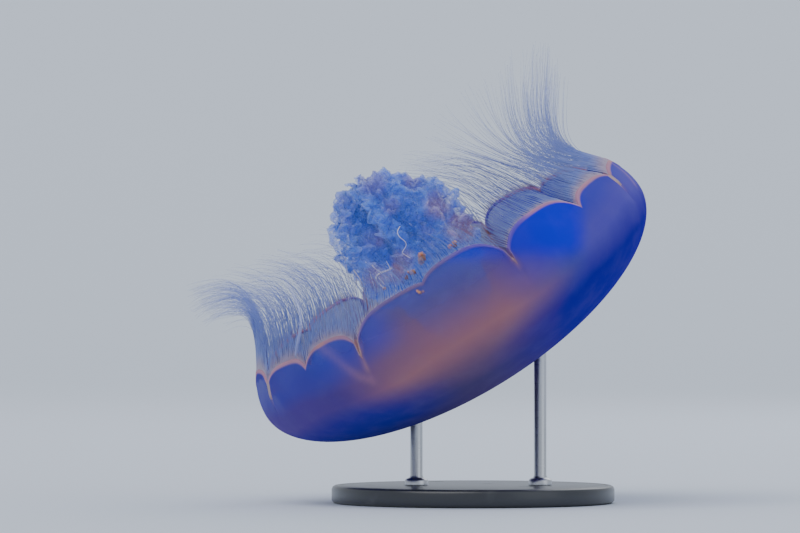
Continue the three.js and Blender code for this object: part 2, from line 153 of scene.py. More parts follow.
# Folds of a frill's surface: depth, length and random seed.
SWIRLS = ((0.0020, 0.016, 61), (0.0010, 0.0065, 62), (0.0005, 0.003, 63))
LIP = 0.80  # share of the way out at which a frill's lip starts to roll
LIP_RADIUS = 0.0014
# Pinkish patches of the frills: across and up in the stand's frame and radius, in millimetres,
# and strength.
PATCHES = (
    (-7, 156, 13, 1.0), (-20, 168, 11, 0.95), (-57, 181, 12, 0.55), (-34, 182, 7, 0.55),
    (-46, 168, 7, 0.5), (-57, 149, 9, 0.35), (-40, 137, 9, 0.7), (-55, 127, 10, 0.9),
    (-44, 129, 8, 0.8),
)
# White threads drawn out of the frills: half thickness in millimetres, and places across and up
# in the stand's frame.
THREADS = (
    (0.24, (-41.3, 156.0), (-43.0, 153.7), (-42.6, 151.4), (-41.0, 149.4), (-37.9, 147.5),
     (-37.6, 145.0), (-39.6, 142.6), (-40.4, 141.0), (-38.2, 139.9), (-35.7, 138.4)),
    (0.56, (-45.9, 132.6), (-48.6, 131.0), (-50.8, 130.6), (-53.8, 129.2), (-55.2, 127.2),
     (-54.2, 124.8), (-52.2, 123.0), (-49.6, 121.0)),
    (0.34, (-53.2, 128.1), (-52.9, 126.6), (-51.2, 125.0), (-49.8, 123.4)),
    (0.36, (-57.0, 134.4), (-55.6, 132.4), (-54.2, 131.2), (-51.6, 130.6)),
    (0.38, (-67.4, 131.8), (-66.0, 129.6), (-63.6, 127.0), (-62.4, 123.2), (-60.4, 119.4)),
    (0.28, (-66.6, 130.6), (-65.2, 126.4), (-66.6, 122.6), (-66.2, 118.0)),
    (0.24, (-63.8, 135.0), (-62.0, 130.2), (-62.6, 125.2), (-59.6, 120.6), (-59.0, 116.0)),
    (0.24, (-60.6, 136.2), (-58.0, 131.4), (-57.6, 126.0), (-55.0, 121.2), (-54.8, 117.0)),
    (0.20, (-49.0, 136.6), (-46.0, 132.0), (-46.8, 127.4), (-43.4, 123.6), (-43.6, 119.6)),
    (0.20, (-72.4, 139.0), (-70.9, 130.8), (-69.4, 123.0), (-70.3, 115.0)),
)
# The one thick, soft strand on the lowered side: places in the stand's frame, in millimetres.
SOFT_STRAND = (
    (-98.6, -70.5, 82.5), (-98.0, -76.0, 91.5), (-96.0, -79.0, 99.0), (-95.8, -79.0, 106.5),
    (-98.3, -77.0, 114.7), (-101.8, -74.0, 121.5), (-105.5, -71.0, 126.5),
)
SOFT_STRAND_RADII = (0.0013, 0.0006)
SOFT_STRAND_STEPS = 24
# Specks of caught food: across and up in the stand's frame, and size, in millimetres.
FOOD_SPECKS = (
    (-27.2, 141.5, 3.0), (-26.6, 137.4, 2.8), (-8.0, 144.6, 2.0), (-31.1, 131.0, 1.5),
    (-33.6, 128.0, 1.9), (-49.8, 120.7, 1.3), (-35.5, 125.6, 1.4),
)
# One speck has sunk into the margin: its place in the stand's frame and its size.
MARGIN_SPECK = (-30.0, -116.5, 119.4)
MARGIN_SPECK_SIZE = 1.5

# Radial canals, each from one distance from the axis to another: to a notch, up the middle of a
# scallop, and twigs that fork off on both sides of a deep notch, by their share of a scallop.
NOTCH_CANAL = (0.046, 0.110)
SCALLOP_CANAL = (0.040, 0.111)
CANAL_TWIGS = ((-0.62, 0.064), (-0.36, 0.076), (0.36, 0.076), (0.62, 0.064))
CANAL_TWIG_END = 0.1105

GONAD_COUNT = 4
GONAD_SWEEP = math.radians(142)  # half the turn of a horseshoe
RHOPALIUM_RADIUS = 0.0014

# The disc's outline, from its underside over its rim: distance in from the rim, and distance up
# from the floor or down from the top.
BASE_UNDERSIDE = ((0.006, 0.0008), (0.005, 0), (0.0022, 0), (0.0012, 0.0003), (0, 0.0015))
BASE_RIM = (
    (0, 0.0022), (0.0006, 0.0008), (0.0018, 0.0001), (0.0032, 0), (0.0040, 0.0005),
    (0.0048, 0.0005), (0.0056, 0),
)
# The collar at a rod's foot: radius as a share of the rod's, and height.
ROD_COLLAR = ((1.9, 0), (1.9, 0.0022), (1.7, 0.0032), (1.15, 0.0040), (1, 0.0052))
SHARP_ANGLE = math.radians(35)  # edges of the stand that turn more stay sharp
KEY_SPREAD = math.radians(50)
BLACK = (0, 0, 0)
WHITE = (1, 1, 1)


# ---------------------------------------------------------------- settings
def length(name, description, default):
    return FloatProperty(name=name, description=description, default=default, unit="LENGTH")


def angle(name, description, degrees):
    return FloatProperty(
        name=name, description=description, default=math.radians(degrees), subtype="ANGLE"
    )


def colour(name, description, default):
    return FloatVectorProperty(
        name=name, description=description, default=default, subtype="COLOR", min=0, max=1
    )


def count(name, description, default):
    return IntProperty(name=name, description=description, default=default, min=1)


class PoseSettings(bpy.types.PropertyGroup):
    centre: FloatVectorProperty(
        name="Opening centre",
        description="Middle of the bell's opening above the stand",
        default=(-0.0255, -0.004, 0.137),
        subtype="TRANSLATION",
    )
    bank: angle("Bank", "Turn about Y, which lifts the bell's right side", -31.6)
    pitch: angle("Pitch", "Turn about X, which shows the opening to the viewer", 5)


class BellSettings(bpy.types.PropertyGroup):
    radius: length("Radius", "Of the widest ring", 0.124)
    widest_z: length("Widest height", "Height of the widest ring", -0.027)
    crown_depth: length("Crown depth", "From the widest ring down to the apex", 0.0525)
    curl_depth: length("Curl depth", "Semi-axis of the arc along which the rim curls in", 0.066)
    lining_radius: length("Lining radius", "Of the underside at the widest ring", 0.113)
    lining_depth: length("Lining depth", "From the widest ring to the hollow's roof", 0.027)
    edge_wall: length("Edge wall", "Thickness of the margin", 0.0024)
    bead: length("Bead", "Extra thickness of the bead along the margin", 0.0007)
    deep_notch_z: length("Deep notch", "Height of the mouth of a deep notch's slot", -0.009)
    slot_foot_z: length("Slot foot", "Height of the foot of that slot", -0.016)
    slot_half_foot: length("Slot foot half width", "Half width of the slot at its foot", 0.0003)
    slot_half_mouth: length("Slot mouth half width", "Half width at its mouth", 0.0014)
    fold_depth: length("Fold depth", "Depth of the crease below each deep notch", 0.0016)
    crown: colour("Crown", "Jelly at the apex", (0.086, 0.051, 0.215))
    shade: colour("Shade", "Just below the warm band", (0.074, 0.054, 0.165))
    band: colour("Band", "Warm band round the side", (0.385, 0.172, 0.205))
    side: colour("Side", "Between the band and the margin", (0.110, 0.082, 0.270))
    rim: colour("Rim", "Jelly near the margin", (0.069, 0.072, 0.360))
    left: colour("Left", "Violet-blue jelly of the lowered side", (0.044, 0.050, 0.400))
    left_band: colour("Left band", "Milky band of the lowered side", (0.064, 0.043, 0.300))
    left_crown: colour("Left crown", "Crown of the lowered side", (0.009, 0.012, 0.300))
    shallow: colour("Shallow", "Blue jelly of the lowered lobes", (0.034, 0.056, 0.540))
    deep: colour("Deep", "Crown of the raised side", (0.018, 0.006, 0.285))
    haze: colour("Haze", "Band of the raised side", (0.047, 0.062, 0.370))
    clear: colour("Clear", "Clear jelly of the raised lobes", (0.003, 0.005, 0.680))
    veil: colour("Veil", "Milky jelly of the raised end", (0.095, 0.076, 0.440))
    veil_top: colour("Veil top", "Jelly of the raised end near its margin", (0.058, 0.058, 0.450))
    edge: colour("Edge", "Bead along the margin", (0.420, 0.215, 0.235))


class FringeSettings(bpy.types.PropertyGroup):
    per_scallop: count("Per scallop", "Tentacles along each scallop", 84)
    length: length("Length", "Of a tentacle", 0.076)
    root: length("Root radius", "Radius near the root", 0.00024)
    tip: length("Tip radius", "Radius at the tip", 0.00008)
    sink: length("Sink", "How far a root is sunk into the margin", 0.0016)
    steps: count("Steps", "Lengths along a tentacle", 18)
    colour: colour("Colour", "Along most of a tentacle", (0.130, 0.220, 0.780))
    root_colour: colour("Root colour", "Where it leaves the margin", (0.420, 0.280, 0.420))


class ArmSettings(bpy.types.PropertyGroup):
    bearing: angle("Bearing", "Of the first arm", 15)
    spread: angle("Spread", "Half angle between an arm's two frills", 27)
    mouth_z: length("Mouth height", "Where the arms leave the mouth", -0.0464)
    top_z: length("Top height", "Of the arms' tips", 0.057)
    drift: length("Drift", "How far the tips are drawn along X", -0.011)
    ruffle: length("Ruffle", "Depth of the widest waves of a frill", 0.0042)
    sheet: length("Sheet", "Thickness of a frill", 0.0005)
    colour: colour("Colour", "Milky blue of the frills", (0.055, 0.165, 0.800))
    patch: colour("Patch", "Pinkish patches", (0.390, 0.255, 0.380))
    food: colour("Food", "Specks of caught food", (0.720, 0.190, 0.060))


class OrganSettings(bpy.types.PropertyGroup):
    mouth_radius: length("Mouth radius", "Of the pad round the mouth", 0.015)
    gonad_ring: length("Gonad ring", "Radius on which the gonads stand", 0.033)
    gonad_radius: length("Gonad radius", "Of each horseshoe", 0.0125)
    gonad_width: length("Gonad width", "Across the band of a horseshoe", 0.0075)
    canal_radius: length("Canal radius", "Of a radial canal", 0.0005)
    gonad: colour("Gonad", "Gonads", (0.500, 0.170, 0.260))
    canal: colour("Canal", "Radial canals", (0.420, 0.200, 0.330))
    sense: colour("Sense organ", "Rhopalia", (0.700, 0.360, 0.220))


class StandSettings(bpy.types.PropertyGroup):
    base_radius: length("Base radius", "Of the disc", 0.080)
    base_height: length("Base height", "Of the disc", 0.010)
    rod_radius: length("Rod radius", "Of both rods", 0.0035)
    left_rod_x: length("Left rod", "Place of the left rod along X", -0.032)
    right_rod_x: length("Right rod", "Place of the right rod along X", 0.038)
    enamel: colour("Enamel", "Base", (0.022, 0.025, 0.032))
    steel: colour("Steel", "Rods", (0.560, 0.570, 0.590))


class StageSettings(bpy.types.PropertyGroup):
    floor: colour("Floor", "Floor and cove", (0.640, 0.700, 0.800))
    view_x: length("View X", "Middle of the frame along X", -0.0413)
    view_z: length("View height", "Height of the camera", 0.1336)
    view_width: length("View width", "Width of the frame at the stand", 0.4525)
    distance: length("Distance", "From the camera to the stand", 3.5)


# ---------------------------------------------------------------- shader maths
class Wire:
    """A node's output, on which shader maths is written as Python expressions."""

    def __init__(self, tree, socket):
        self.tree = tree
        self.socket = socket

    def node(self, kind, settings=None, inputs=None, output=0):
        """Adds a node, sets it up, fills its sockets and gives one of its outputs."""
        added = self.tree.nodes.new(kind)
        for name, value in (settings or {}).items():
            if name == "stops":
                set_stops(added.color_ramp.elements, value)
            else:
                setattr(added, name, value)
        for name, value in (inputs or {}).items():
            socket = added.inputs[name]
            if isinstance(value, Wire):
                self.tree.links.new(value.socket, socket)
            else:
                socket.default_value = value
        return Wire(self.tree, added.outputs[output])

    def math(self, operation, first, second):
        return self.node("ShaderNodeMath", {"operation": operation}, {0: first, 1: second})

    def clamped(self):
        return self.node("ShaderNodeClamp", None, {0: self})

    def __add__(self, other):
        return self.math("ADD", self, other)

    def __radd__(self, other):
        return self.math("ADD", other, self)

    def __sub__(self, other):
        return self.math("SUBTRACT", self, other)

    def __rsub__(self, other):
        return self.math("SUBTRACT", other, self)

    def __mul__(self, other):
        return self.math("MULTIPLY", self, other)

    def __rmul__(self, other):
        return self.math("MULTIPLY", other, self)

    def __pow__(self, other):
        return self.math("POWER", self, other)


def set_stops(elements, stops):
    """Gives a colour ramp its stops, each (place, colour)."""
    while len(elements) < len(stops):
        elements.new(1.0)
    for element, (place, tint) in zip(elements, stops):
        element.position = place
        element.color = (*tint, 1.0)


def ramp(share, *stops):
    """A colour that runs through stops of (place, colour) as share grows."""
    return share.node("ShaderNodeValToRGB", {"stops": stops}, {0: share})


def between(wire, low, high, kind="SMOOTHSTEP"):
    """0 below low and 1 above high, smoothly joined unless kind is LINEAR. low may be greater."""
    inputs = {"Value": wire, "From Min": low, "From Max": high}
    return wire.node("ShaderNodeMapRange", {"interpolation_type": kind}, inputs)


def noise(place, scale, detail=2.0, roughness=0.5):
    """Smooth noise from 0 to 1. scale counts its lumps along a metre."""
    inputs = {"Vector": place, "Scale": scale, "Detail": detail, "Roughness": roughness}
    return place.node("ShaderNodeTexNoise", None, inputs)


def mix(share, first, second):
    """The first colour where share is 0 and the second where it is 1."""
    inputs = {"Factor": share, 6: rgba(first), 7: rgba(second)}
    return share.node("ShaderNodeMix", {"data_type": "RGBA"}, inputs, 2)


def rgba(tint):
    return tint if isinstance(tint, Wire) else (*tint, 1.0)


def lerp_tint(first, second, share):
    return tuple(lerp(a, b, share) for a, b in zip(first, second))


def part(vector, axis):
    return vector.node("ShaderNodeSeparateXYZ", None, {0: vector}, "XYZ".index(axis))


def bump(height, distance, strength=1.0):
    inputs = {"Height": height, "Distance": distance, "Strength": strength}
    return height.node("ShaderNodeBump", None, inputs)


class Finish:
    """A material on one Principled shader."""

    def __init__(self, name):
        self.material = bpy.data.materials.new(name)
        self.material.use_nodes = True
        self.tree = self.material.node_tree
        self.shader = self.tree.nodes["Principled BSDF"]
        start = self.tree.nodes.new("ShaderNodeTexCoord")
        self.place = Wire(self.tree, start.outputs["Object"])

    def animal_place(self):
        """The place in the animal's own frame."""
        pose = bpy.context.scene.jelly_pose
        inputs = {
            "Vector": self.place,
            "Location": tuple(pose.centre),
            "Rotation": (pose.pitch, pose.bank, 0.0),
        }
        return self.place.node("ShaderNodeMapping", {"vector_type": "TEXTURE"}, inputs)

    def soften(self, weight, radius):
        """Lets light scatter as far as radius, for red, green and blue."""
        self.set(Subsurface_Weight=weight, Subsurface_Radius=radius, Subsurface_Scale=1.0)

    def attribute(self, name):
        settings = {"attribute_name": name}
        return self.place.node("ShaderNodeAttribute", settings, None, 2)

    def set(self, **sockets):
        """Sets the shader's sockets: Base_Color is Base Color."""
        for name, value in sockets.items():
            socket = self.shader.inputs[name.replace("_", " ")]
            if isinstance(value, Wire):
                self.tree.links.new(value.socket, socket)
            else:
                socket.default_value = rgba(value) if name.endswith("Color") else value


# ---------------------------------------------------------------- modelling helpers
def deselect():
    for thing in bpy.context.selected_objects:
        thing.select_set(False)


def take(name):
    """Names the piece that an operator has just added."""
    piece = bpy.context.object
    piece.name = name
    piece.data.name = name
    return piece


def remove(piece):
    bpy.data.objects.remove(piece, do_unlink=True)


def only(piece):
    """Makes a piece the only selected and active one."""
    deselect()
    piece.select_set(True)
    bpy.context.view_layer.objects.active = piece


def places(piece):
    found = np.empty(len(piece.data.vertices) * 3)
    piece.data.vertices.foreach_get("co", found)
    return found.reshape(-1, 3)


def move_to(piece, points):
    piece.data.vertices.foreach_set("co", np.ascontiguousarray(points, dtype=float).ravel())
    piece.data.update()


@contextmanager
def editing(piece):
    """Edits a piece with all of its mesh selected, and turns its faces outwards at the end."""
    only(piece)
    bpy.ops.object.mode_set(mode="EDIT")
    bpy.ops.mesh.select_all(action="SELECT")
    yield
    bpy.ops.mesh.normals_make_consistent(inside=False)
    bpy.ops.object.mode_set(mode="OBJECT")


def turn_outwards(piece):
    """Turns a piece's faces outwards, with nothing else done to it."""
    with editing(piece):
        pass


def tidy_mesh(piece, distance=1e-6):
    """Merges doubles and turns the faces outwards."""
    with editing(piece):
        bpy.ops.mesh.remove_doubles(threshold=distance)


def modify(piece, kind, **settings):
    """Adds a modifier and applies it."""
    only(piece)
    modifier = piece.modifiers.new(kind.title(), kind)
    for name, value in settings.items():
        setattr(modifier, name, value)
    bpy.ops.object.modifier_apply(modifier=modifier.name)


def smooth(piece, sharp_angle=None):
    """Shades a piece smooth, but for edges that turn more than sharp_angle."""
    only(piece)
    if sharp_angle is None:
        bpy.ops.object.shade_smooth()
    else:
        bpy.ops.object.shade_smooth_by_angle(angle=sharp_angle)


def store(piece, name, values):
    """Keeps one number per vertex for the material."""
    layer = piece.data.attributes.new(name, "FLOAT", "POINT")
    layer.data.foreach_set("value", np.ascontiguousarray(values, dtype=float))


def lay_map(piece, across, up):
    """Lays each vertex on the UV map named BAKE_MAP, at the given places across and up."""
    corner = np.empty(len(piece.data.loops), dtype=int)
    piece.data.loops.foreach_get("vertex_index", corner)
    layers = piece.data.uv_layers
    layer = layers[0] if len(layers) else layers.new()
    layer.name = BAKE_MAP
    layer.data.foreach_set("uv", np.stack([across, up], axis=1)[corner].ravel())


def recall(piece, name):
    """Numbers that store kept."""
    found = np.empty(len(piece.data.vertices))
    piece.data.attributes[name].data.foreach_get("value", found)
    return found


def pose_matrix():
    pose = bpy.context.scene.jelly_pose
    turn = Euler((pose.pitch, pose.bank, 0.0), "XYZ").to_matrix().to_4x4()
    return Matrix.Translation(pose.centre) @ turn


def settle(piece):
    """Sets a piece of the animal in its pose, with the object left at the origin."""
    piece.matrix_world = pose_matrix()
    only(piece)
    bpy.ops.object.transform_apply(location=True, rotation=True, scale=True)


def finish_piece(piece, finishes, nodes=()):
    """Gives a piece its materials, its body and the CAD nodes that it stands for."""
    for finish in finishes:
        piece.data.materials.append(finish.material)
    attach(piece, "root")
    if nodes:
        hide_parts(*nodes)


def finish_soft(piece, finishes, nodes=()):
    """Smooths a piece of the animal, sets it in its pose and finishes it."""
    smooth(piece)
    settle(piece)
    finish_piece(piece, finishes, nodes)


def join(pieces, name):
    """Joins pieces, each with its own mesh, into one."""
    deselect()
    for piece in pieces:
        piece.select_set(True)
    bpy.context.view_layer.objects.active = pieces[0]
    bpy.ops.object.join()
    return take(name)


def turned(name, profile, steps):
    """Spins a profile of (radius, height) points round Z from pole to pole, merged at the seam.

    Each vertex keeps its place in the profile as the number "ring".
    """
    deselect()
    bpy.ops.mesh.primitive_circle_add(vertices=len(profile), radius=1, fill_type="NOTHING")
    piece = take(name)
    move_to(piece, [(radius, 0.0, height) for radius, height in profile])
    store(piece, "ring", range(len(profile)))
    ends = {0, len(profile) - 1}
    closing = [set(edge.vertices) == ends for edge in piece.data.edges]
    piece.data.vertices.foreach_set("select", [False] * len(profile))
    piece.data.edges.foreach_set("select", closing)
    bpy.ops.object.mode_set(mode="EDIT")
    bpy.ops.mesh.select_mode(type="EDGE")
    bpy.ops.mesh.delete(type="EDGE")
    bpy.ops.mesh.select_mode(type="VERT")
    bpy.ops.mesh.select_all(action="SELECT")
    bpy.ops.mesh.spin(steps=steps, angle=math.tau, center=(0, 0, 0), axis=(0, 0, 1))
    bpy.ops.object.mode_set(mode="OBJECT")
    tidy_mesh(piece)
    return piece


def grid(name, columns, rows):
    """A flat sheet of columns by rows faces, with each vertex's shares of both ways."""
    deselect()
    bpy.ops.mesh.primitive_grid_add(x_subdivisions=columns, y_subdivisions=rows, size=2)
    piece = take(name)
    flat = places(piece)
    return piece, (flat[:, 0] + 1) / 2, (flat[:, 1] + 1) / 2


def swept(name, depth, bevel, kind, lines, **settings):
    """Sweeps a round section along lines of (points, radii) and turns them into one mesh."""
    curve = bpy.data.curves.new(name, "CURVE")
    curve.dimensions = "3D"
    curve.bevel_depth = depth
    curve.bevel_resolution = bevel
    curve.use_fill_caps = True
    for points, radii in lines:
        spline = curve.splines.new(kind)
        spline.points.add(len(points) - 1)
        for setting, value in settings.items():
            setattr(spline, setting, value)
        for point, at, radius in zip(spline.points, points, radii):
            point.co = (*at, 1)
            point.radius = radius
    piece = bpy.data.objects.new(name, curve)
    bpy.context.scene.collection.objects.link(piece)
    only(piece)
    bpy.ops.object.convert(target="MESH")
    return take(name)


def lerp(low, high, share):
    return low + (high - low) * share


def unit(vector):
    vector = np.asarray(vector, dtype=float)
    return vector / np.linalg.norm(vector)


def unit_rows(vectors):
    return vectors / np.linalg.norm(vectors, axis=1)[:, None]


def turn_between(first, second):
    """The angle from the second bearing to the first, the shorter way round."""
    return np.angle(np.exp(1j * (first - second)))


def smoothstep(value, low, high):
    share = np.clip((value - low) / (high - low), 0, 1)
    return share * share * (3 - 2 * share)


def along(values, share):
    """Value at a share (0 to 1) of a list of evenly spaced values, smoothly joined."""
    values = np.asarray(values, dtype=float)
    at = np.clip(share, 0, 1) * (len(values) - 1)
    low = np.minimum(np.floor(at).astype(int), len(values) - 2)
    return lerp(values[low], values[low + 1], smoothstep(at - low, 0, 1))


def on_bearing(bearing, radius, z):
    bearing, radius, z = np.broadcast_arrays(bearing, radius, z)
    return np.stack([radius * np.sin(bearing), -radius * np.cos(bearing), z], axis=-1)


def wander(at, seed, lumps=6):
    """Smooth random numbers from about -1 to 1 along at."""
    rng = np.random.default_rng(seed)
    total = np.zeros_like(np.asarray(at, dtype=float))
    for step in range(1, lumps + 1):
        total += rng.normal() * np.sin(step * at + rng.uniform(0, math.tau)) / step**0.5
    return total / 2.5


# ---------------------------------------------------------------- shape of the bell
def outer_radius(bell, z):
    span = np.where(z < bell.widest_z, bell.crown_depth, bell.curl_depth)
    return bell.radius * np.sqrt(np.clip(1 - ((z - bell.widest_z) / span) ** 2, 0, 1))


def lining_z(bell, radius):
    rise = np.sqrt(np.clip(1 - (radius / bell.lining_radius) ** 2, 0, 1))
    return bell.widest_z - bell.lining_depth * rise


def side_wall(bell, z):
    thick = bell.radius - bell.lining_radius
    return lerp(thick, bell.edge_wall, smoothstep(z, bell.widest_z, 0.0))


def starts_deep(scallop):
    return scallop % 2 == 0


def margin(bell, scallop, q):
    """Bearing and height of the margin at share q of a scallop, counted from its deep notch."""
    start, end = NOTCHES[scallop : scallop + 2]
    crest = CREST_HEIGHTS[scallop] * MM
    shallow = SHALLOW_NOTCH_HEIGHTS[scallop // 2] * MM
    arc = q * (end - start) * bell.radius
    slot = 1 - smoothstep(arc, bell.slot_half_foot, bell.slot_half_mouth)
    height = (
        crest
        - (crest - bell.deep_notch_z) * (1 - q) ** DEEP_NOTCH_POWER
        - (crest - shallow) * q**SHALLOW_NOTCH_POWER
        - (bell.deep_notch_z - bell.slot_foot_z) * slot
    )
    return lerp(start, end, q if starts_deep(scallop) else 1 - q), height


def margin_stations(bell):
    """Bearings and heights all round the margin, closest where it turns fastest."""
    shares = np.array(MARGIN_SHARES)
    stations = [
        margin(bell, scallop, shares[:-1] if starts_deep(scallop) else shares[:0:-1])
        for scallop in range(SCALLOP_COUNT)
    ]
    return np.hstack(stations)


def bell_rings(bell, bearings, heights):
    """Radius, height, distance from the edge and side of every ring at every station."""
    flat = np.ones_like(bearings)
    rings = []

    def row(radius, z, edge=FAR_FROM_EDGE, inside=False):
        rings.append((radius * flat, z * flat, edge * flat, inside * flat))

    for t in np.linspace(0, math.pi / 2, CROWN_RINGS + 1)[:-1]:
        row(bell.radius * math.sin(t), bell.widest_z - bell.crown_depth * math.cos(t))
    steps = np.array(WALL_STEPS)
    half_lip = bell.edge_wall / 2
    tops = heights - half_lip
    rising = 1 - steps / steps[0]
    fold = fold_strength(bell, bearings)

    def wall(share, inside):
        z = lerp(bell.widest_z, tops, share)
        edge = heights - z
        bead = bell.bead * np.exp(-(((edge - BEAD_BELOW_EDGE) / BEAD_HALF_WIDTH) ** 2))
        crease = bell.fold_depth * fold * smoothstep(z, FOLD_LOW, FOLD_HIGH)
        radius = outer_radius(bell, z) + bead / 2 - crease
        if inside:
            radius = radius - side_wall(bell, z) - bead + FOLD_SHARE_INSIDE * crease
        row(radius, z, edge, inside)

    for share in rising:
        wall(share, False)
    bead = bell.bead * math.exp(-((half_lip - BEAD_BELOW_EDGE) ** 2) / BEAD_HALF_WIDTH**2)
    thick = side_wall(bell, tops) + bead
    middle = outer_radius(bell, tops) + bead / 2 - thick / 2
    for t in np.linspace(0, math.pi, 7)[1:-1]:
        past_top = t > 1.6
        row(middle + thick / 2 * math.cos(t), tops + half_lip * math.sin(t), 0, past_top)
    for share in rising[::-1]:
        wall(share, True)
    for t in np.linspace(math.pi / 2, 0, LINING_RINGS + 1)[1:]:
        radius = bell.lining_radius * math.sin(t)
        row(radius, lining_z(bell, radius), inside=True)
    return rings


def drawn_lines(bell, bearings, z):
    """Strength at each point of the creases and of the canals that show through the side.

    The side that faces the viewer has its own canals, in LOBE_LINES.
    """
    total = np.zeros_like(z)
    for bearing, foot in zip(NOTCHES[::2], FOLD_FEET):
        arc = turn_between(bearings, bearing) * bell.radius
        fade = smoothstep(z, foot * MM - 0.005, foot * MM + 0.002)
        total += CREASE_STRENGTH * np.exp(-((arc / LINE_HALF_WIDTH) ** 2)) * fade
    for line in LOBE_LINES:
        for (first, low), (second, high) in zip(line, line[1:]):
            for share in np.linspace(0, 1, 5)[:-1]:
                at = math.radians(lerp(first, second, share))
                arc = turn_between(bearings, at) * bell.radius
                gap = np.hypot(arc, z - lerp(low, high, share) * MM)
                line_here = np.exp(-((gap / LOBE_LINE_HALF_WIDTH) ** 2))
                total = np.maximum(total, LOBE_LINE_STRENGTH * line_here)
    far_side = smoothstep(np.abs(turn_between(bearings, 0)), 1.35, 1.75)
    canals = canal_lines(bell, bearings, z)
    return np.clip(total + FAR_CANAL_STRENGTH * far_side * canals, 0, 1)


def canal_lines(bell, bearings, z):
    """Strength of the radial canals, which fork on the way from the crown to the margin."""
    total = np.zeros_like(z)
    up = smoothstep(z, bell.widest_z - bell.crown_depth, 0.0)
    radius = np.maximum(outer_radius(bell, z), 0.01)
    for scallop, (start, end) in enumerate(zip(NOTCHES, NOTCHES[1:])):
        twigs = (0, 0.22, 0.5, 0.78) if starts_deep(scallop) else (0, 0.5)
        for twig, share in enumerate(twigs):
            lean = share * (end - start) * (1 if share == 0.5 else up**0.4)
            sway = 0.012 * wander(z * 160, scallop * 5 + twig)
            turn = turn_between(bearings - start - lean, sway)
            total = np.maximum(total, np.exp(-((turn * radius / LINE_HALF_WIDTH) ** 2)))
    return total * smoothstep(up, 0.06, 0.3)


def fold_strength(bell, bearings):
    """1 on the bearing of a deep notch and 0 away from it."""
    total = np.zeros_like(bearings)
    for bearing in NOTCHES[:-1:2]:
        arc = turn_between(bearings, bearing) * bell.radius
        total += np.exp(-((arc / FOLD_HALF_WIDTH) ** 2))
    return total


# ---------------------------------------------------------------- finishes of the animal
def jelly_finish(name, inside):
    """Clear jelly, with a warm band round its side.

    height runs from 0 at the apex to 1 at the margin, and x from the lowered side to the raised
    one. Each mix lays the colours of one more part of the bell over what is there.
    """
    bell = bpy.context.scene.jelly_bell
    finish = Finish(name)
    place = finish.animal_place()
    x = part(place, "X")
    z = part(place, "Z")
    cloud = noise(place, 18, 3) - 0.5
    height = between(z + cloud * 0.010, -0.080, 0.006, "LINEAR")
    middle = ramp(
        height,
        (0.00, bell.crown),
        (0.20, bell.shade),
        (0.31, lerp_tint(bell.shade, bell.band, 0.24)),
        (0.40, lerp_tint(bell.shade, bell.band, 0.62)),
        (0.49, bell.band),
        (0.60, lerp_tint(bell.side, bell.band, 0.66)),
        (0.72, lerp_tint(bell.side, bell.band, 0.30)),
        (0.84, bell.side),
        (1.00, bell.rim),
    )
    raised = ramp(height, (0, bell.deep), (0.34, bell.deep), (0.52, bell.haze), (0.78, bell.clear))
    lowered = ramp(
        height,
        (0.39, bell.left_crown),
        (0.49, bell.left_band),
        (0.60, bell.left_band),
        (0.70, bell.left),
    )
    raised_end = ramp(
        height - (x - 0.085) * 2.5,
        (0.395, bell.deep),
        (0.585, bell.veil),
        (0.66, bell.veil),
        (0.78, bell.veil_top),
    )
    low = between(z, -0.036, -0.056)
    raised_lobe = between(z + x * 0.55 + cloud * 0.004, 0.004, 0.018)
    tint = mix(between(x + cloud * 0.03 + low * 0.022, 0.012, 0.078), middle, raised)
    tint = mix(raised_lobe, tint, bell.clear)
    tint = mix(between(x - z * 0.6 + cloud * 0.01, 0.084, 0.101), tint, raised_end)
    tint = mix(between(x + cloud * 0.03 - low * 0.020, -0.036, -0.090) * 0.88, tint, lowered)
    lowered_lobe = between(x, -0.098, -0.078) * between(x, -0.026, -0.048)
    tint = mix(lowered_lobe * between(z, -0.026, -0.010) * 0.75, tint, bell.shallow)
    faint_bead = between(x, -0.066, -0.040) * between(x, 0.064, 0.050)
    bead = between(finish.attribute("edge"), 0.0026, 0.0012) * (0.85 - faint_bead * 0.55)
    drawn = (bead + finish.attribute("fold") * 0.6).clamped()
    tint = mix(drawn, tint, bell.edge)
    milk = between(noise(place, 70, 4, 0.6), 0.36, 0.80)
    tint = mix(milk * 0.05, tint, (0.34, 0.32, 0.52))
    thin = between(z, -0.048, -0.002)
    alpha = 0.90 - thin * 0.34
    if not inside:
        ends = between(x, 0.034, 0.070) * 0.38 + between(x, -0.080, -0.104) * 0.26
        alpha = 0.96 - thin * (0.54 - ends)
    grain = noise(place, 420, 3, 0.6) * 0.4 + noise(place, 60, 2) * 0.6
    finish.set(
        Base_Color=tint,
        Alpha=(alpha + drawn * 0.4).clamped(),
        Roughness=0.50 + noise(place, 90, 2) * 0.10,
        Normal=bump(grain, 0.0006, 0.35),
        Specular_IOR_Level=0.0,
        IOR=1.36,
        Coat_Weight=0.02,
        Coat_Roughness=0.30,
    )
    finish.soften(0.45, (0.010, 0.007, 0.012))
    return finish


def tentacle_finish():
    """Blue jelly that is pinkish at the root and fades out along the tentacle."""
    fringe = bpy.context.scene.jelly_fringe
    finish = Finish("tentacle_jelly")
    share = finish.attribute("share")
    tint = mix(between(share, 0.16, 0.02), fringe.colour, fringe.root_colour)
    mottle = noise(finish.place, 260, 2)
    finish.set(
        Base_Color=mix(mottle * 0.35, tint, (0.45, 0.55, 0.95)),
        Alpha=0.76 - between(share, 0.02, 0.30) * 0.24 - between(share, 0.3, 1.0) * 0.34,
        Roughness=0.35,
        Coat_Weight=0.2,
    )
    finish.soften(0.3, (0.002, 0.002, 0.004))
    return finish


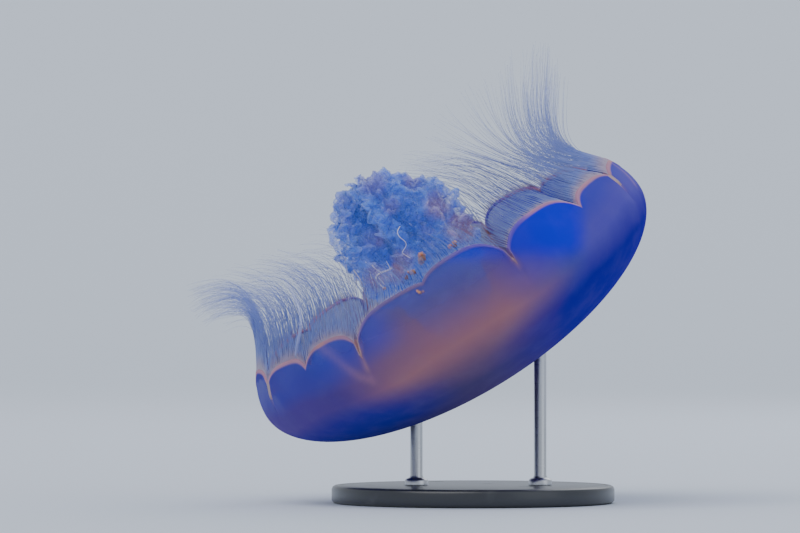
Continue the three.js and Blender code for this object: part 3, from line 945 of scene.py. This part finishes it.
def strand_finish(name, strength=1.0):
    """Pale jelly of the finest strands. strength makes it denser."""
    finish = Finish(name)
    share = finish.attribute("share")
    mottle = noise(finish.place, 500, 2)
    finish.set(
        Base_Color=mix(mottle, (0.25, 0.34, 0.85), (0.60, 0.62, 0.95)),
        Alpha=(0.62 - share * 0.34) * strength,
        Roughness=0.4,
        Coat_Weight=0.2,
    )
    return finish


def frill_finish():
    """Milky folded jelly, denser and paler at the lips and pinkish in patches, with a faint
    painted glow in its own tint that lightens the shade in its folds.
    """
    arms = bpy.context.scene.jelly_arms
    finish = Finish("frill_jelly")
    place = finish.animal_place()
    milk = noise(place, 210, 3)
    lace = 0.55 + between(noise(place, 430, 3, 0.6), 0.36, 0.60) * 0.60
    patches = between(noise(place, 55, 3), 0.56, 0.68) * 0.35
    x = part(finish.place, "X")
    z = part(finish.place, "Z")
    for across, up, radius, strength in PATCHES:
        gap = ((x - across * MM) ** 2.0 + (z - up * MM) ** 2.0) ** 0.5
        patch = between(gap + (milk - 0.5) * 0.008, radius * MM, radius * MM * 0.3)
        patches = patches + patch * strength
    patches = patches.clamped()
    low = between(part(place, "Z"), 0.030, -0.012)
    tint = mix(milk * 0.6, arms.colour, (0.17, 0.31, 0.92))
    tint = mix(patches * (0.72 + low * 0.25), tint, arms.patch)
    faint = 1.0 - between(x, -0.050, -0.088) * 0.25
    edge = finish.attribute("edge")
    dense = 0.19 + between(edge, 0.45, 0.95) * 0.17 + patches * 0.32 + low * 0.05
    finish.set(
        Base_Color=mix(between(edge, 0.86, 1.0) * 0.5, tint, (0.36, 0.47, 0.93)),
        Alpha=dense * lace * faint,
        Roughness=0.4,
        Normal=bump(milk, 0.0004, 0.3),
        # Painted glow: the frills give off a little light in their own tint, which lightens the
        # shade in their folds.
        Emission_Color=tint,
        Emission_Strength=0.20,
        Specular_IOR_Level=0.2,
        Coat_Weight=0.06,
        Coat_Roughness=0.3,
    )
    finish.soften(0.8, (0.005, 0.005, 0.007))
    return finish


def organ_finish(name, tint, scale):
    """Grainy flesh in one tint. scale counts the grains along a metre."""
    finish = Finish(name)
    place = finish.animal_place()
    grain = noise(place, scale, 3)
    finish.set(
        Base_Color=mix(grain, lerp_tint(tint, BLACK, 0.35), lerp_tint(tint, WHITE, 0.2)),
        Roughness=0.35 + grain * 0.2,
        Normal=bump(grain, 0.0004, 0.5),
        Coat_Weight=0.3,
        Coat_Roughness=0.15,
    )
    finish.soften(0.6, (0.006, 0.003, 0.003))
    return finish


# ---------------------------------------------------------------- operators of the animal
class JELLY_OT_bell(bpy.types.Operator):
    """Spins the bell, cuts its margin into scallops and folds, and colours its jelly"""

    bl_idname = "jelly.bell"
    bl_label = "Bell"

    def execute(self, context):
        bell = context.scene.jelly_bell
        bearings, heights = margin_stations(bell)
        rings = np.array(bell_rings(bell, bearings, heights))
        piece = turned("bell_skin", rings[:, :2, 0], len(bearings))
        ring = np.rint(recall(piece, "ring")).astype(int)
        now = places(piece)
        step = math.tau / len(bearings)
        turn = np.arctan2(now[:, 0], -now[:, 1]) - math.pi / 2
        station = np.rint(turn / step).astype(int) % len(bearings)
        radius, z, edge, inside = rings[ring, :, station].T
        bearing = bearings[station]
        ripple = 0.0005 * wander(bearing * 3, 4) * smoothstep(z, -0.03, -0.005)
        move_to(piece, on_bearing(bearing, np.maximum(radius + ripple, 0), z))
        store(piece, "edge", edge)
        store(piece, "fold", drawn_lines(bell, bearing, z) * (radius > 0.08))
        for face in piece.data.polygons:
            face.material_index = int(all(inside[v] for v in face.vertices))
        tidy_mesh(piece)
        finishes = [jelly_finish("bell_jelly", False), jelly_finish("bell_lining", True)]
        lobes = [f"margin_lobe_{lobe + 1}" for lobe in range(LOBE_COUNT)]
        finish_soft(piece, finishes, ["bell", *lobes])
        return {"FINISHED"}


class JELLY_OT_canals(bpy.types.Operator):
    """Lays the radial canals on the bell's underside"""

    bl_idname = "jelly.canals"
    bl_label = "Radial Canals"

    def execute(self, context):
        bell = context.scene.jelly_bell
        organs = context.scene.jelly_organs
        lines = []
        for scallop, (start, end) in enumerate(zip(NOTCHES, NOTCHES[1:])):
            half = (start + end) / 2
            lines.append(self.canal(bell, start, start, *NOTCH_CANAL, scallop))
            if starts_deep(scallop):
                for twig, (share, fork) in enumerate(CANAL_TWIGS):
                    turned_to = start + share * (end - start)
                    lines.append(self.canal(bell, start, turned_to, fork, CANAL_TWIG_END, twig))
            lines.append(self.canal(bell, half, half, *SCALLOP_CANAL, scallop + 40))
        piece = swept("radial_canals", organs.canal_radius, 1, "POLY", lines)
        finish_soft(piece, [organ_finish("canal", organs.canal, 300)])
        return {"FINISHED"}

    def canal(self, bell, start, end, inner, outer, seed):
        """Points and tapers of a canal from the inner radius to the outer one."""
        share = np.linspace(0, 1, 14)
        radius = lerp(inner, outer, share)
        sway = 0.012 * wander(share * 5, seed) * (1 - share)
        bearing = lerp(start, end, share**0.6) + sway
        points = on_bearing(bearing, radius, lining_z(bell, radius) + 0.0002)
        return points, lerp(1.0, 0.55, share)


class JELLY_OT_fringe(bpy.types.Operator):
    """Grows the tentacles along the margin, lobe by lobe"""

    bl_idname = "jelly.fringe"
    bl_label = "Tentacle Fringe"

    def execute(self, context):
        bell = context.scene.jelly_bell
        fringe = context.scene.jelly_fringe
        finish = tentacle_finish()
        strand = straight_strand(fringe.root, fringe.tip, 3, fringe.steps)
        for lobe in range(LOBE_COUNT):
            paths = self.paths(bell, fringe, 2 * lobe) + self.paths(bell, fringe, 2 * lobe + 1)
            piece = lay_strands(f"fringe_{lobe + 1}", strand, paths)
            finish_soft(piece, [finish], [f"margin_lobe_{lobe + 1}"])
        remove(strand)
        return {"FINISHED"}

    def paths(self, bell, fringe, scallop):
        """Paths of one scallop's tentacles. Next to its deep notch they lean over the notch."""
        made = []
        rng = np.random.default_rng(scallop)
        for q in np.linspace(0.04, 0.985, fringe.per_scallop):
            q = np.clip(q + rng.normal(0, 0.3) / fringe.per_scallop, 0.03, 0.99)
            bearing, height = margin(bell, scallop, q)
            hand = 1 if starts_deep(scallop) else -1
            lean = hand * NOTCH_LEAN * math.exp(-((q / NOTCH_REACH) ** 2))
            made.append(tentacle_path(bell, fringe, float(bearing), float(height), lean, rng))
        return made


def current(bearing):
    """The water at a bearing: lean, heading, start and end of the turn, and share of length."""
    first = CURRENTS[0]
    rows = np.array([*CURRENTS, (first[0] + 360, *first[1:])])
    turn = first[0] + (math.degrees(bearing) - first[0]) % 360
    place = np.interp(turn, rows[:, 0], range(len(rows))) / (len(rows) - 1)
    lean, x, y, z, *others = (along(column, place) for column in rows[:, 1:].T)
    return lean, unit([x, y, z]), *others


def tentacle_path(bell, fringe, bearing, height, to_notch, rng):
    """Points of a tentacle: out of the edge, inwards at first and then along the current."""
    lean, end, turn_start, turn_end, size = current(bearing)
    start = unit(on_bearing(bearing, -lean, 1.0))
    share = strand_shares(fringe.steps)
    heading = lerp(start, end, smoothstep(share, turn_start, turn_end)[:, None])
    across = np.array([-math.cos(bearing), -math.sin(bearing), 0.3])
    own = rng.integers(1000000)
    sway = 0.26 * wander(bearing * 14 + share * 5, 5) + 0.22 * wander(share * 7, own, 4)
    rise = 0.20 * wander(bearing * 17 + share * 4, 8) + 0.18 * wander(share * 7, own + 1, 4)
    splay = to_notch * (1 - 0.7 * share) + rng.normal(0, 0.07)
    heading = heading + (splay + sway * share)[:, None] * across
    heading = unit_rows(heading + (rise * share)[:, None] * [0, 0, 1.0])
    straight = unit(on_bearing(bearing, -0.2, 1.0))
    heading = lerp(straight, heading, smoothstep(share, 0, 0.05)[:, None])
    heading = heading + (to_notch * smoothstep(share, 0.05, 0))[:, None] * across
    long = fringe.length * size * (0.97 + 0.06 * wander(bearing * 9, 11)) * rng.uniform(0.74, 1.1)
    z = height - fringe.sink
    foot = on_bearing(bearing, outer_radius(bell, z) - bell.edge_wall * 0.5, z)
    steps = (heading[:-1] + heading[1:]) / 2 * (long * np.diff(share))[:, None]
    return np.vstack([foot, foot + np.cumsum(steps, axis=0)])


def strand_shares(steps):
    """Places of a strand's rings, closest together at the root."""
    return np.linspace(0, 1, steps + 1) ** STRAND_EASE


def straight_strand(root, tip, sides, steps, swelling=0.9):
    """A tapered rod along Z from 0 to 1, cut into steps and closed by a flat cap at each end."""
    deselect()
    bpy.ops.mesh.primitive_cylinder_add(vertices=sides, radius=1, depth=1, end_fill_type="NGON")
    piece = take("strand")
    bpy.ops.object.mode_set(mode="EDIT")
    bpy.ops.mesh.select_all(action="DESELECT")
    bpy.ops.mesh.select_mode(type="EDGE")
    bpy.ops.object.mode_set(mode="OBJECT")
    for edge in piece.data.edges:
        first, second = (piece.data.vertices[v].co for v in edge.vertices)
        edge.select = abs(first.z - second.z) > 0.5
    bpy.ops.object.mode_set(mode="EDIT")
    bpy.ops.mesh.subdivide_edgering(number_cuts=steps - 1, interpolation="LINEAR", smoothness=0)
    bpy.ops.object.mode_set(mode="OBJECT")
    at = places(piece)
    ring = np.rint(np.clip(at[:, 2] + 0.5, 0, 1) * steps).astype(int)
    share = strand_shares(steps)[ring]
    bulb = 1 + swelling * np.exp(-((share / BULB_REACH) ** 2))
    radius = lerp(root, tip, share**0.7) * bulb
    move_to(piece, np.stack([at[:, 0] * radius, at[:, 1] * radius, share], axis=1))
    store(piece, "ring", ring)
    return piece


def lay_strands(name, strand, paths):
    """Copies one strand along every path, in one mesh."""
    at = places(strand)
    polygons = [tuple(face.vertices) for face in strand.data.polygons]
    row = np.rint(recall(strand, "ring")).astype(int)
    points, faces, shares = [], [], []
    for index, path in enumerate(paths):
        forward = unit_rows(np.gradient(path, axis=0))
        side = unit_rows(np.cross(forward, ACROSS_STRAND))
        other = np.cross(forward, side)
        offset = index * len(at)
        points.append(path[row] + (at[:, :1] * side[row] + at[:, 1:2] * other[row]))
        faces += [tuple(v + offset for v in face) for face in polygons]
        shares.append(at[:, 2])
    mesh = bpy.data.meshes.new(name)
    mesh.from_pydata(np.concatenate(points).tolist(), [], faces)
    piece = bpy.data.objects.new(name, mesh)
    bpy.context.scene.collection.objects.link(piece)
    store(piece, "share", np.concatenate(shares))
    around = np.arctan2(at[:, 1], at[:, 0]) / math.tau % 1
    strips = np.arange(len(paths))[:, None] + 0.1 + 0.8 * around
    lay_map(piece, strips.ravel() / len(paths), np.concatenate(shares))
    turn_outwards(piece)
    return piece


def swirl(points, wavelength, seed):
    """A smooth random push at every point, as a sum of waves about as long as wavelength."""
    rng = np.random.default_rng(seed)
    total = np.zeros_like(points)
    for _ in range(8):
        wave = unit(rng.normal(size=3)) * math.tau / wavelength * rng.uniform(0.7, 1.4)
        push = unit(rng.normal(size=3)) / 8**0.5
        total += np.outer(np.sin(points @ wave + rng.uniform(0, math.tau)), push)
    return total


def arm_points(arms, arm, share, side, layer):
    """Points of one of an arm's sheets. Each layer stands out less and waves in its own time."""
    curl = 1.5 * math.pi * np.clip((np.abs(side) - LIP) / (1 - LIP), 0, 1)
    across = np.minimum(np.abs(side) / LIP, 1)
    hand = np.sign(side)
    seed = arm * 17 + layer * 5
    reach = LAYERS[layer][2]
    edge_waves = 1 + 0.12 * wander(share * 24 + hand * 3, seed + 1) * across
    stand = along(FLARE, share) * MM * across**1.2 * edge_waves * reach
    drift = 0.9 * wander(share * 7 + hand, seed + 2) + hand * seed
    grown = smoothstep(share, 0, 0.22)
    beads = 0.5 * wander(share * 30, seed + 6) + 0.35 * wander(share * 90, seed + 8)
    lip = LIP_RADIUS * (1 + beads) * grown
    radius = along(KEEL, share) * MM * (1 - 0.1 * layer) + stand + lip * np.sin(curl)
    sideways, outwards, upwards = 0, 0, 0
    for turns, lumps, depth, power in FRILL_WAVES:
        size = depth * arms.ruffle * grown * across**power
        phase = math.tau * turns * share + lumps * drift
        sideways = sideways + size * np.sin(phase)
        outwards = outwards + size * np.cos(phase + 0.9)
        upwards = upwards + size * np.cos(1.31 * phase)
    sweep = arms.spread * side * (1 - 0.2 * layer) + sideways / np.maximum(radius, 0.014)
    bearing = arms.bearing + math.tau / ARM_COUNT * arm + sweep
    droop = 0.003 * across * share * (1 + wander(share * 4, seed + 3))
    z = lerp(arms.mouth_z - 0.002, arms.top_z + 0.001, share) - droop + 0.4 * upwards
    z = z + lip * (1 - np.cos(curl)) * np.sign(wander(share * 9, seed + 7) + 0.2)
    points = on_bearing(bearing, radius + 0.4 * outwards, z)
    points[:, 0] += arms.drift * share**2
    push = sum(depth * swirl(points, long, seed) for depth, long, seed in SWIRLS)
    return points + push * (grown * across)[:, None]


class JELLY_OT_oral_arms(bpy.types.Operator):
    """Drapes the four frilled oral arms, each of folded sheets"""

    bl_idname = "jelly.oral_arms"
    bl_label = "Oral Arms"

    def execute(self, context):
        arms = context.scene.jelly_arms
        finish = frill_finish()
        for arm in range(ARM_COUNT):
            sheets = []
            for layer, (columns, rows, _) in enumerate(LAYERS):
                sheet, share, across = grid(f"sheet_{layer}", columns, rows)
                side = 2 * across - 1
                side = np.sign(side) * np.abs(side) ** 0.6
                move_to(sheet, arm_points(arms, arm, share, side, layer))
                store(sheet, "edge", np.abs(side))
                lay_map(sheet, share, (layer + lerp(0.04, 0.96, across)) / len(LAYERS))
                modify(sheet, "SOLIDIFY", thickness=arms.sheet, offset=0)
                sheets.append(sheet)
            piece = join(sheets, f"oral_arm_{arm + 1}")
            nodes = [f"oral_arm_{arm + 1}_{part}" for part in ARM_LENGTHS]
            finish_soft(piece, [finish], nodes)
        return {"FINISHED"}


class JELLY_OT_filaments(bpy.types.Operator):
    """Sets fine filaments along the edges of the arms' frills"""

    bl_idname = "jelly.filaments"
    bl_label = "Filaments"

    def execute(self, context):
        arms = context.scene.jelly_arms
        rng = np.random.default_rng(31)
        strand = straight_strand(*FILAMENT_RADII, 3, FILAMENT_STEPS)
        paths = []
        for arm in range(ARM_COUNT):
            for hand in (-1, 1):
                for share in np.arange(0.10, 0.99, 0.0022):
                    share = share + rng.uniform(-0.004, 0.004)
                    paths.append(self.path(arms, arm, share, hand, rng))
        piece = lay_strands("arm_filaments", strand, paths)
        remove(strand)
        finish_soft(piece, [strand_finish("filament_jelly")])
        return {"FINISHED"}

    def path(self, arms, arm, share, hand, rng):
        """A filament's points: out over the frill's edge, bending as it goes."""
        near = np.array([share, share])
        out_to = rng.uniform(0.64, 1.0)
        side = np.array([out_to - 0.03, out_to]) * hand
        inner, edge = arm_points(arms, arm, near, side, rng.integers(0, 2))
        out = unit(edge - inner + rng.normal(0, 0.15, 3) * np.linalg.norm(edge - inner))
        long = rng.uniform(0.0015, 0.0042)
        bend = np.linspace(0, 1, FILAMENT_STEPS + 1)
        heading = unit_rows(out + np.outer(bend, rng.normal(0, 0.7, 3)))
        along_path = np.cumsum(heading[:-1] * long / FILAMENT_STEPS, axis=0)
        return np.vstack([inner, inner + along_path])


class JELLY_OT_mouth(bpy.types.Operator):
    """Turns the four-cornered pad of the mouth and presses its cross into it"""

    bl_idname = "jelly.mouth"
    bl_label = "Mouth"

    def execute(self, context):
        bell = context.scene.jelly_bell
        arms = context.scene.jelly_arms
        wide = context.scene.jelly_organs.mouth_radius
        floor = lining_z(bell, 0.0)
        top = arms.mouth_z
        foot = [(wide * s, float(lining_z(bell, wide * s)) + 0.0003) for s in np.linspace(0, 1, 8)]
        swell = [
            (wide * (0.90 + 0.1 * math.cos(math.pi * s)), lerp(foot[-1][1], top, s))
            for s in np.linspace(0.15, 0.85, 6)
        ]
        lip = [(wide * 0.82, top), (wide * 0.7, top + 0.0006), (wide * 0.5, top)]
        hollow = [(wide * s, top - 0.004 * (1 - s * 2)) for s in (0.4, 0.3, 0.2, 0.1, 0.0)]
        piece = turned("mouth", foot + swell + lip + hollow, 96)
        at = places(piece)
        radius = np.hypot(at[:, 0], at[:, 1])
        turn = np.arctan2(at[:, 0], -at[:, 1]) - arms.bearing
        corner = np.cos(ARM_COUNT * turn)
        at[:, :2] *= (1 + 0.14 * corner)[:, None]
        cross = smoothstep(radius, wide * 0.85, wide * 0.2) * smoothstep(corner, 0.2, 0.9)
        at[:, 2] -= 0.003 * cross * smoothstep(at[:, 2], floor + 0.004, top)
        at[:, 2] = np.maximum(at[:, 2], lining_z(bell, np.hypot(at[:, 0], at[:, 1])) + 0.0002)
        move_to(piece, at)
        tidy_mesh(piece)
        store(piece, "edge", np.zeros(len(piece.data.vertices)))
        finish_soft(piece, [frill_finish()], ["mouth"])
        return {"FINISHED"}


class JELLY_OT_gonads(bpy.types.Operator):
    """Folds the four horseshoe gonads and lays them round the mouth"""

    bl_idname = "jelly.gonads"
    bl_label = "Gonads"

    def execute(self, context):
        bell = context.scene.jelly_bell
        organs = context.scene.jelly_organs
        arms = context.scene.jelly_arms
        finish = organ_finish("gonad", organs.gonad, 240)
        for gonad in range(GONAD_COUNT):
            piece, u, v = grid(f"gonad_{gonad + 1}", 200, 44)
            turn = lerp(-GONAD_SWEEP, GONAD_SWEEP, u)
            ends = np.maximum(np.sqrt(np.clip(1 - np.abs(2 * u - 1) ** 12, 0, 1)), 0.02)
            around = math.tau * v
            fold = 1 + 0.20 * np.sin(17 * turn + gonad) + 0.10 * np.sin(41 * turn + 2 * gonad)
            across = -np.cos(around) * (organs.gonad_width / 2 * fold * ends)
            lift = 0.0024 * fold * ends * (1 + np.sin(around))
            weave = 0.0008 * np.sin(17 * turn + gonad)
            bearing = arms.bearing + math.radians(45) + math.tau / GONAD_COUNT * gonad
            centre = on_bearing(bearing, organs.gonad_ring, 0.0)
            at = on_bearing(bearing + turn, organs.gonad_radius + across + weave, 0.0) + centre
            at[:, 2] = lining_z(bell, np.hypot(at[:, 0], at[:, 1])) + 0.0001 + lift
            move_to(piece, at)
            tidy_mesh(piece, 1e-5)
            with editing(piece):
                bpy.ops.mesh.fill_holes(sides=0)
            finish_soft(piece, [finish], [f"gonad_{gonad + 1}"])
        return {"FINISHED"}


class JELLY_OT_sense_organs(bpy.types.Operator):
    """Sets a rhopalium into the slot of each deep notch"""

    bl_idname = "jelly.sense_organs"
    bl_label = "Sense Organs"

    def execute(self, context):
        bell = context.scene.jelly_bell
        finish = organ_finish("sense_organ", context.scene.jelly_organs.sense, 900)
        radius = RHOPALIUM_RADIUS
        for lobe in range(LOBE_COUNT):
            deselect()
            bpy.ops.mesh.primitive_uv_sphere_add(segments=28, ring_count=18, radius=radius)
            piece = take(f"rhopalium_bulb_{lobe + 1}")
            at = places(piece)
            at[:, :2] *= (1 - 0.28 * smoothstep(at[:, 2], 0.0, -radius))[:, None]
            at[:, 2] *= 1.05
            z = bell.slot_foot_z + 0.0017
            middle = float(outer_radius(bell, z) - side_wall(bell, z) / 2)
            at += on_bearing(NOTCHES[2 * lobe], middle, z)
            move_to(piece, at)
            finish_soft(piece, [finish], [f"rhopalium_{lobe + 1}"])
        return {"FINISHED"}


def front_of_arms():
    """A function that gives the near face of the arms at a place across and up."""
    carriers = [bpy.data.objects[f"oral_arm_{arm + 1}"] for arm in range(ARM_COUNT)]
    points = np.concatenate([places(carrier) for carrier in carriers])

    def seat(x, z):
        gap = np.hypot(points[:, 0] - x, points[:, 2] - z)
        close = points[gap < max(0.003, gap.min() + 0.001)]
        return close[np.argmin(close[:, 1])]

    return seat


class JELLY_OT_soft_strand(bpy.types.Operator):
    """Bends the one thick, soft strand that rises from the lowered side"""

    bl_idname = "jelly.soft_strand"
    bl_label = "Soft Strand"

    def execute(self, context):
        strand = straight_strand(*SOFT_STRAND_RADII, 12, SOFT_STRAND_STEPS, swelling=0)
        share = strand_shares(SOFT_STRAND_STEPS)
        knots = np.array(SOFT_STRAND) * MM
        at = share * (len(knots) - 1)
        path = np.stack([np.interp(at, range(len(knots)), knots[:, axis]) for axis in range(3)], 1)
        for _ in range(6):
            path[1:-1] = (path[:-2] + 2 * path[1:-1] + path[2:]) / 4
        piece = lay_strands("soft_strand", strand, [path])
        remove(strand)
        smooth(piece)
        finish_piece(piece, [strand_finish("soft_strand_jelly", 0.7)])
        return {"FINISHED"}


class JELLY_OT_threads(bpy.types.Operator):
    """Draws the white threads that hang from the frills"""

    bl_idname = "jelly.threads"
    bl_label = "Threads"

    def execute(self, context):
        front = front_of_arms()
        lines = []
        for thick, *knots in THREADS:
            x, z = np.array(knots).T * MM
            depth = np.array([front(*place)[1] for place in zip(x, z)])
            y = lerp(sum(depth) / len(knots), depth, 0.4) - 0.0016
            taper = lerp(1.0, 0.6, np.arange(len(knots)) / len(knots))
            lines.append((np.stack([x, y, z], axis=1), thick * taper))
        nurbs = {"use_endpoint_u": True, "order_u": 4, "resolution_u": 6}
        piece = swept("arm_threads", MM, 2, "NURBS", lines, **nurbs)
        smooth(piece)
        store(piece, "share", np.zeros(len(piece.data.vertices)))
        finish = strand_finish("thread_white", 1.45)
        grain = noise(finish.place, 700)
        finish.set(Base_Color=mix(grain, (0.80, 0.72, 0.84), (0.92, 0.87, 0.96)))
        finish_piece(piece, [finish])
        return {"FINISHED"}


class JELLY_OT_food(bpy.types.Operator):
    """Sticks specks of caught food to the arms"""

    bl_idname = "jelly.food"
    bl_label = "Food Specks"

    def execute(self, context):
        finish = organ_finish("food_speck", context.scene.jelly_arms.food, 1500)
        front = front_of_arms()
        seats = []
        for x, z, size in FOOD_SPECKS:
            seats.append((front(x * MM, z * MM) - [0, size * MM * 0.6, 0], size))
        seats.append((np.array(MARGIN_SPECK) * MM, MARGIN_SPECK_SIZE))
        specks = []
        rng = np.random.default_rng(3)
        for seat, size in seats:
            for lump in range(4):
                deselect()
                bpy.ops.mesh.primitive_ico_sphere_add(subdivisions=3, radius=size * MM * 0.75)
                speck = take(f"speck_{len(specks)}")
                at = places(speck)
                bumps = 1 + 0.28 * wander(at[:, 0] * 2600 + at[:, 2] * 1900, lump + len(specks))
                shift = rng.normal(0, size * MM * 0.45, 3) * (lump > 0)
                move_to(speck, at * bumps[:, None] * rng.uniform(0.6, 1.0) + seat + shift)
                specks.append(speck)
        piece = join(specks, "food_specks")
        smooth(piece)
        finish_piece(piece, [finish])
        return {"FINISHED"}


# ---------------------------------------------------------------- operators of the stand
class JELLY_OT_stand(bpy.types.Operator):
    """Turns the base and the two rods"""

    bl_idname = "jelly.stand"
    bl_label = "Stand"

    def execute(self, context):
        stand = context.scene.jelly_stand
        radius, top = stand.base_radius, stand.base_height
        underside = [(radius - inward, up) for inward, up in BASE_UNDERSIDE]
        rim = [(radius - inward, top - down) for inward, down in BASE_RIM]
        piece = turned("base_disc", [(0, underside[0][1]), *underside, *rim, (0, top)], 160)
        modify(piece, "BEVEL", width=0.0002, segments=2, limit_method="ANGLE")
        smooth(piece, SHARP_ANGLE)
        finish_piece(piece, [self.enamel(stand)], ["stand_base"])
        steel = self.steel(stand)
        for side, x in (("left", stand.left_rod_x), ("right", stand.right_rod_x)):
            name = f"stand_rod_{side}"
            finish_piece(self.rod(name, x, stand.rod_radius), [steel], [name])
        return {"FINISHED"}

    def rod(self, name, x, radius):
        """A rod with a collar at its foot, its top cut to the slope of the bell."""
        low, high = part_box(name)
        foot, top = low[2], high[2] + 0.01
        collar = [(radius * wide, foot + up) for wide, up in ROD_COLLAR]
        profile = [(0, foot), *collar, (radius, top), (0, top)]
        piece = turned(f"{name}_turned", profile, 64)
        at = places(piece)
        at[:, 0] += x
        for vertex in np.flatnonzero(at[:, 2] > foot + 0.01):
            at[vertex, 2] = self.meet(at[vertex, 0], at[vertex, 1], foot)
        move_to(piece, at)
        tidy_mesh(piece)
        smooth(piece, SHARP_ANGLE)
        return piece

    def meet(self, x, y, foot):
        """Height at which a line straight up meets the crown, found by halving."""
        bell = bpy.context.scene.jelly_bell
        inverse = pose_matrix().inverted()
        low, high = foot, 0.16
        for _ in range(40):
            middle = (low + high) / 2
            local = inverse @ Vector((x, y, middle))
            ring = math.hypot(local.x, local.y) / bell.radius
            depth = (local.z - bell.widest_z) / bell.crown_depth
            inside = ring * ring + depth * depth < 1 and local.z < bell.widest_z + 0.02
            low, high = (low, middle) if inside else (middle, high)
        return low - 0.0001

    def enamel(self, stand):
        finish = Finish("base_enamel")
        orange_peel = noise(finish.place, 900, 2)
        wear = between(noise(finish.place, 45, 4), 0.62, 0.78)
        finish.set(
            Base_Color=mix(wear * 0.25, stand.enamel, lerp_tint(stand.enamel, WHITE, 0.12)),
            Roughness=0.34 + wear * 0.16,
            Normal=bump(orange_peel, 0.0001, 0.25),
            Coat_Weight=0.3,
            Coat_Roughness=0.2,
        )
        return finish

    def steel(self, stand):
        finish = Finish("rod_steel")
        inputs = {"Vector": finish.place, "Scale": (60.0, 60.0, 3500.0)}
        lines = noise(finish.place.node("ShaderNodeMapping", None, inputs), 1.0, 2)
        finish.set(
            Base_Color=mix(lines * 0.3, stand.steel, (0.42, 0.43, 0.45)),
            Metallic=1.0,
            Roughness=0.22 + lines * 0.16,
            Normal=bump(lines, 0.00004, 0.4),
        )
        return finish


class JELLY_OT_stage(bpy.types.Operator):
    """Lays the pale floor, hangs the soft lights and sets the camera"""

    bl_idname = "jelly.stage"
    bl_label = "Stage"

    def execute(self, context):
        stage = context.scene.jelly_stage
        cove = [(r, 0.02 * max(r - 5.0, 0) ** 2 - 0.0002) for r in np.linspace(0, 15, 61)]
        floor = turned("floor", cove, 128)
        smooth(floor)
        finish = Finish("floor_paint")
        mottle = noise(finish.place, 3, 3)
        finish.set(
            Base_Color=mix(mottle * 0.3, stage.floor, lerp_tint(stage.floor, WHITE, 0.1)),
            Roughness=0.75,
        )
        floor.data.materials.append(finish.material)
        self.light("key", "SUN", (-0.9, -1.2, 2.2), 1.5, (1.0, 0.98, 0.95), angle=KEY_SPREAD)
        self.light("fill", "AREA", (1.9, -1.4, 1.0), 6, (0.86, 0.92, 1.0), size=1.8)
        self.light("back", "AREA", (1.0, 1.8, 1.5), 10, (0.92, 0.95, 1.0), size=1.4)
        world = bpy.data.worlds.new("studio")
        world.use_nodes = True
        background = world.node_tree.nodes["Background"]
        background.inputs["Color"].default_value = (0.80, 0.86, 0.96, 1)
        background.inputs["Strength"].default_value = 0.75
        context.scene.world = world
        self.camera(context, stage)
        return {"FINISHED"}

    def light(self, name, kind, place, power, tint, **extent):
        """Hangs a light that looks at the bell. extent is its size or its angle."""
        data = bpy.data.lights.new(name, kind)
        for setting, value in extent.items():
            setattr(data, setting, value)
        data.energy = power
        data.color = tint
        lamp = bpy.data.objects.new(name, data)
        lamp.location = place
        aim = Vector((0, 0, 0.12)) - Vector(place)
        lamp.rotation_euler = aim.to_track_quat("-Z", "Y").to_euler()
        bpy.context.scene.collection.objects.link(lamp)

    def camera(self, context, stage):
        data = bpy.data.cameras.new("camera")
        data.sensor_width = 36.0
        data.lens = data.sensor_width * stage.distance / stage.view_width
        data.clip_start = 0.1
        data.clip_end = 60.0
        camera = bpy.data.objects.new("camera", data)
        camera.location = (stage.view_x, -stage.distance, stage.view_z)
        camera.rotation_euler = (math.pi / 2, 0, 0)
        context.scene.collection.objects.link(camera)
        context.scene.camera = camera


# ---------------------------------------------------------------- add-on
SETTINGS = {
    "jelly_pose": PoseSettings,
    "jelly_bell": BellSettings,
    "jelly_fringe": FringeSettings,
    "jelly_arms": ArmSettings,
    "jelly_organs": OrganSettings,
    "jelly_stand": StandSettings,
    "jelly_stage": StageSettings,
}
OPERATORS = (
    JELLY_OT_bell,
    JELLY_OT_canals,
    JELLY_OT_fringe,
    JELLY_OT_soft_strand,
    JELLY_OT_oral_arms,
    JELLY_OT_filaments,
    JELLY_OT_mouth,
    JELLY_OT_gonads,
    JELLY_OT_sense_organs,
    JELLY_OT_threads,
    JELLY_OT_food,
    JELLY_OT_stand,
    JELLY_OT_stage,
)


class JELLY_PT_panel(bpy.types.Panel):
    """Lists the jellyfish's settings and the operators that build it"""

    bl_idname = "JELLY_PT_panel"
    bl_label = "Moon Jellyfish"
    bl_space_type = "VIEW_3D"
    bl_region_type = "UI"
    bl_category = "Jellyfish"

    def draw(self, context):
        for name, kind in SETTINGS.items():
            box = self.layout.box()
            settings = getattr(context.scene, name)
            for prop in kind.__annotations__:
                box.prop(settings, prop)
        for operator in OPERATORS:
            self.layout.operator(operator.bl_idname)


def register():
    for name, kind in SETTINGS.items():
        bpy.utils.register_class(kind)
        setattr(bpy.types.Scene, name, PointerProperty(type=kind))
    for operator in OPERATORS:
        bpy.utils.register_class(operator)
    bpy.utils.register_class(JELLY_PT_panel)


def unregister():
    bpy.utils.unregister_class(JELLY_PT_panel)
    for operator in reversed(OPERATORS):
        bpy.utils.unregister_class(operator)
    for name, kind in reversed(SETTINGS.items()):
        delattr(bpy.types.Scene, name)
        bpy.utils.unregister_class(kind)


def main():
    register()
    for operator in OPERATORS:
        group, name = operator.bl_idname.split(".")
        getattr(getattr(bpy.ops, group), name)()


if __name__ == "__main__":
    main()
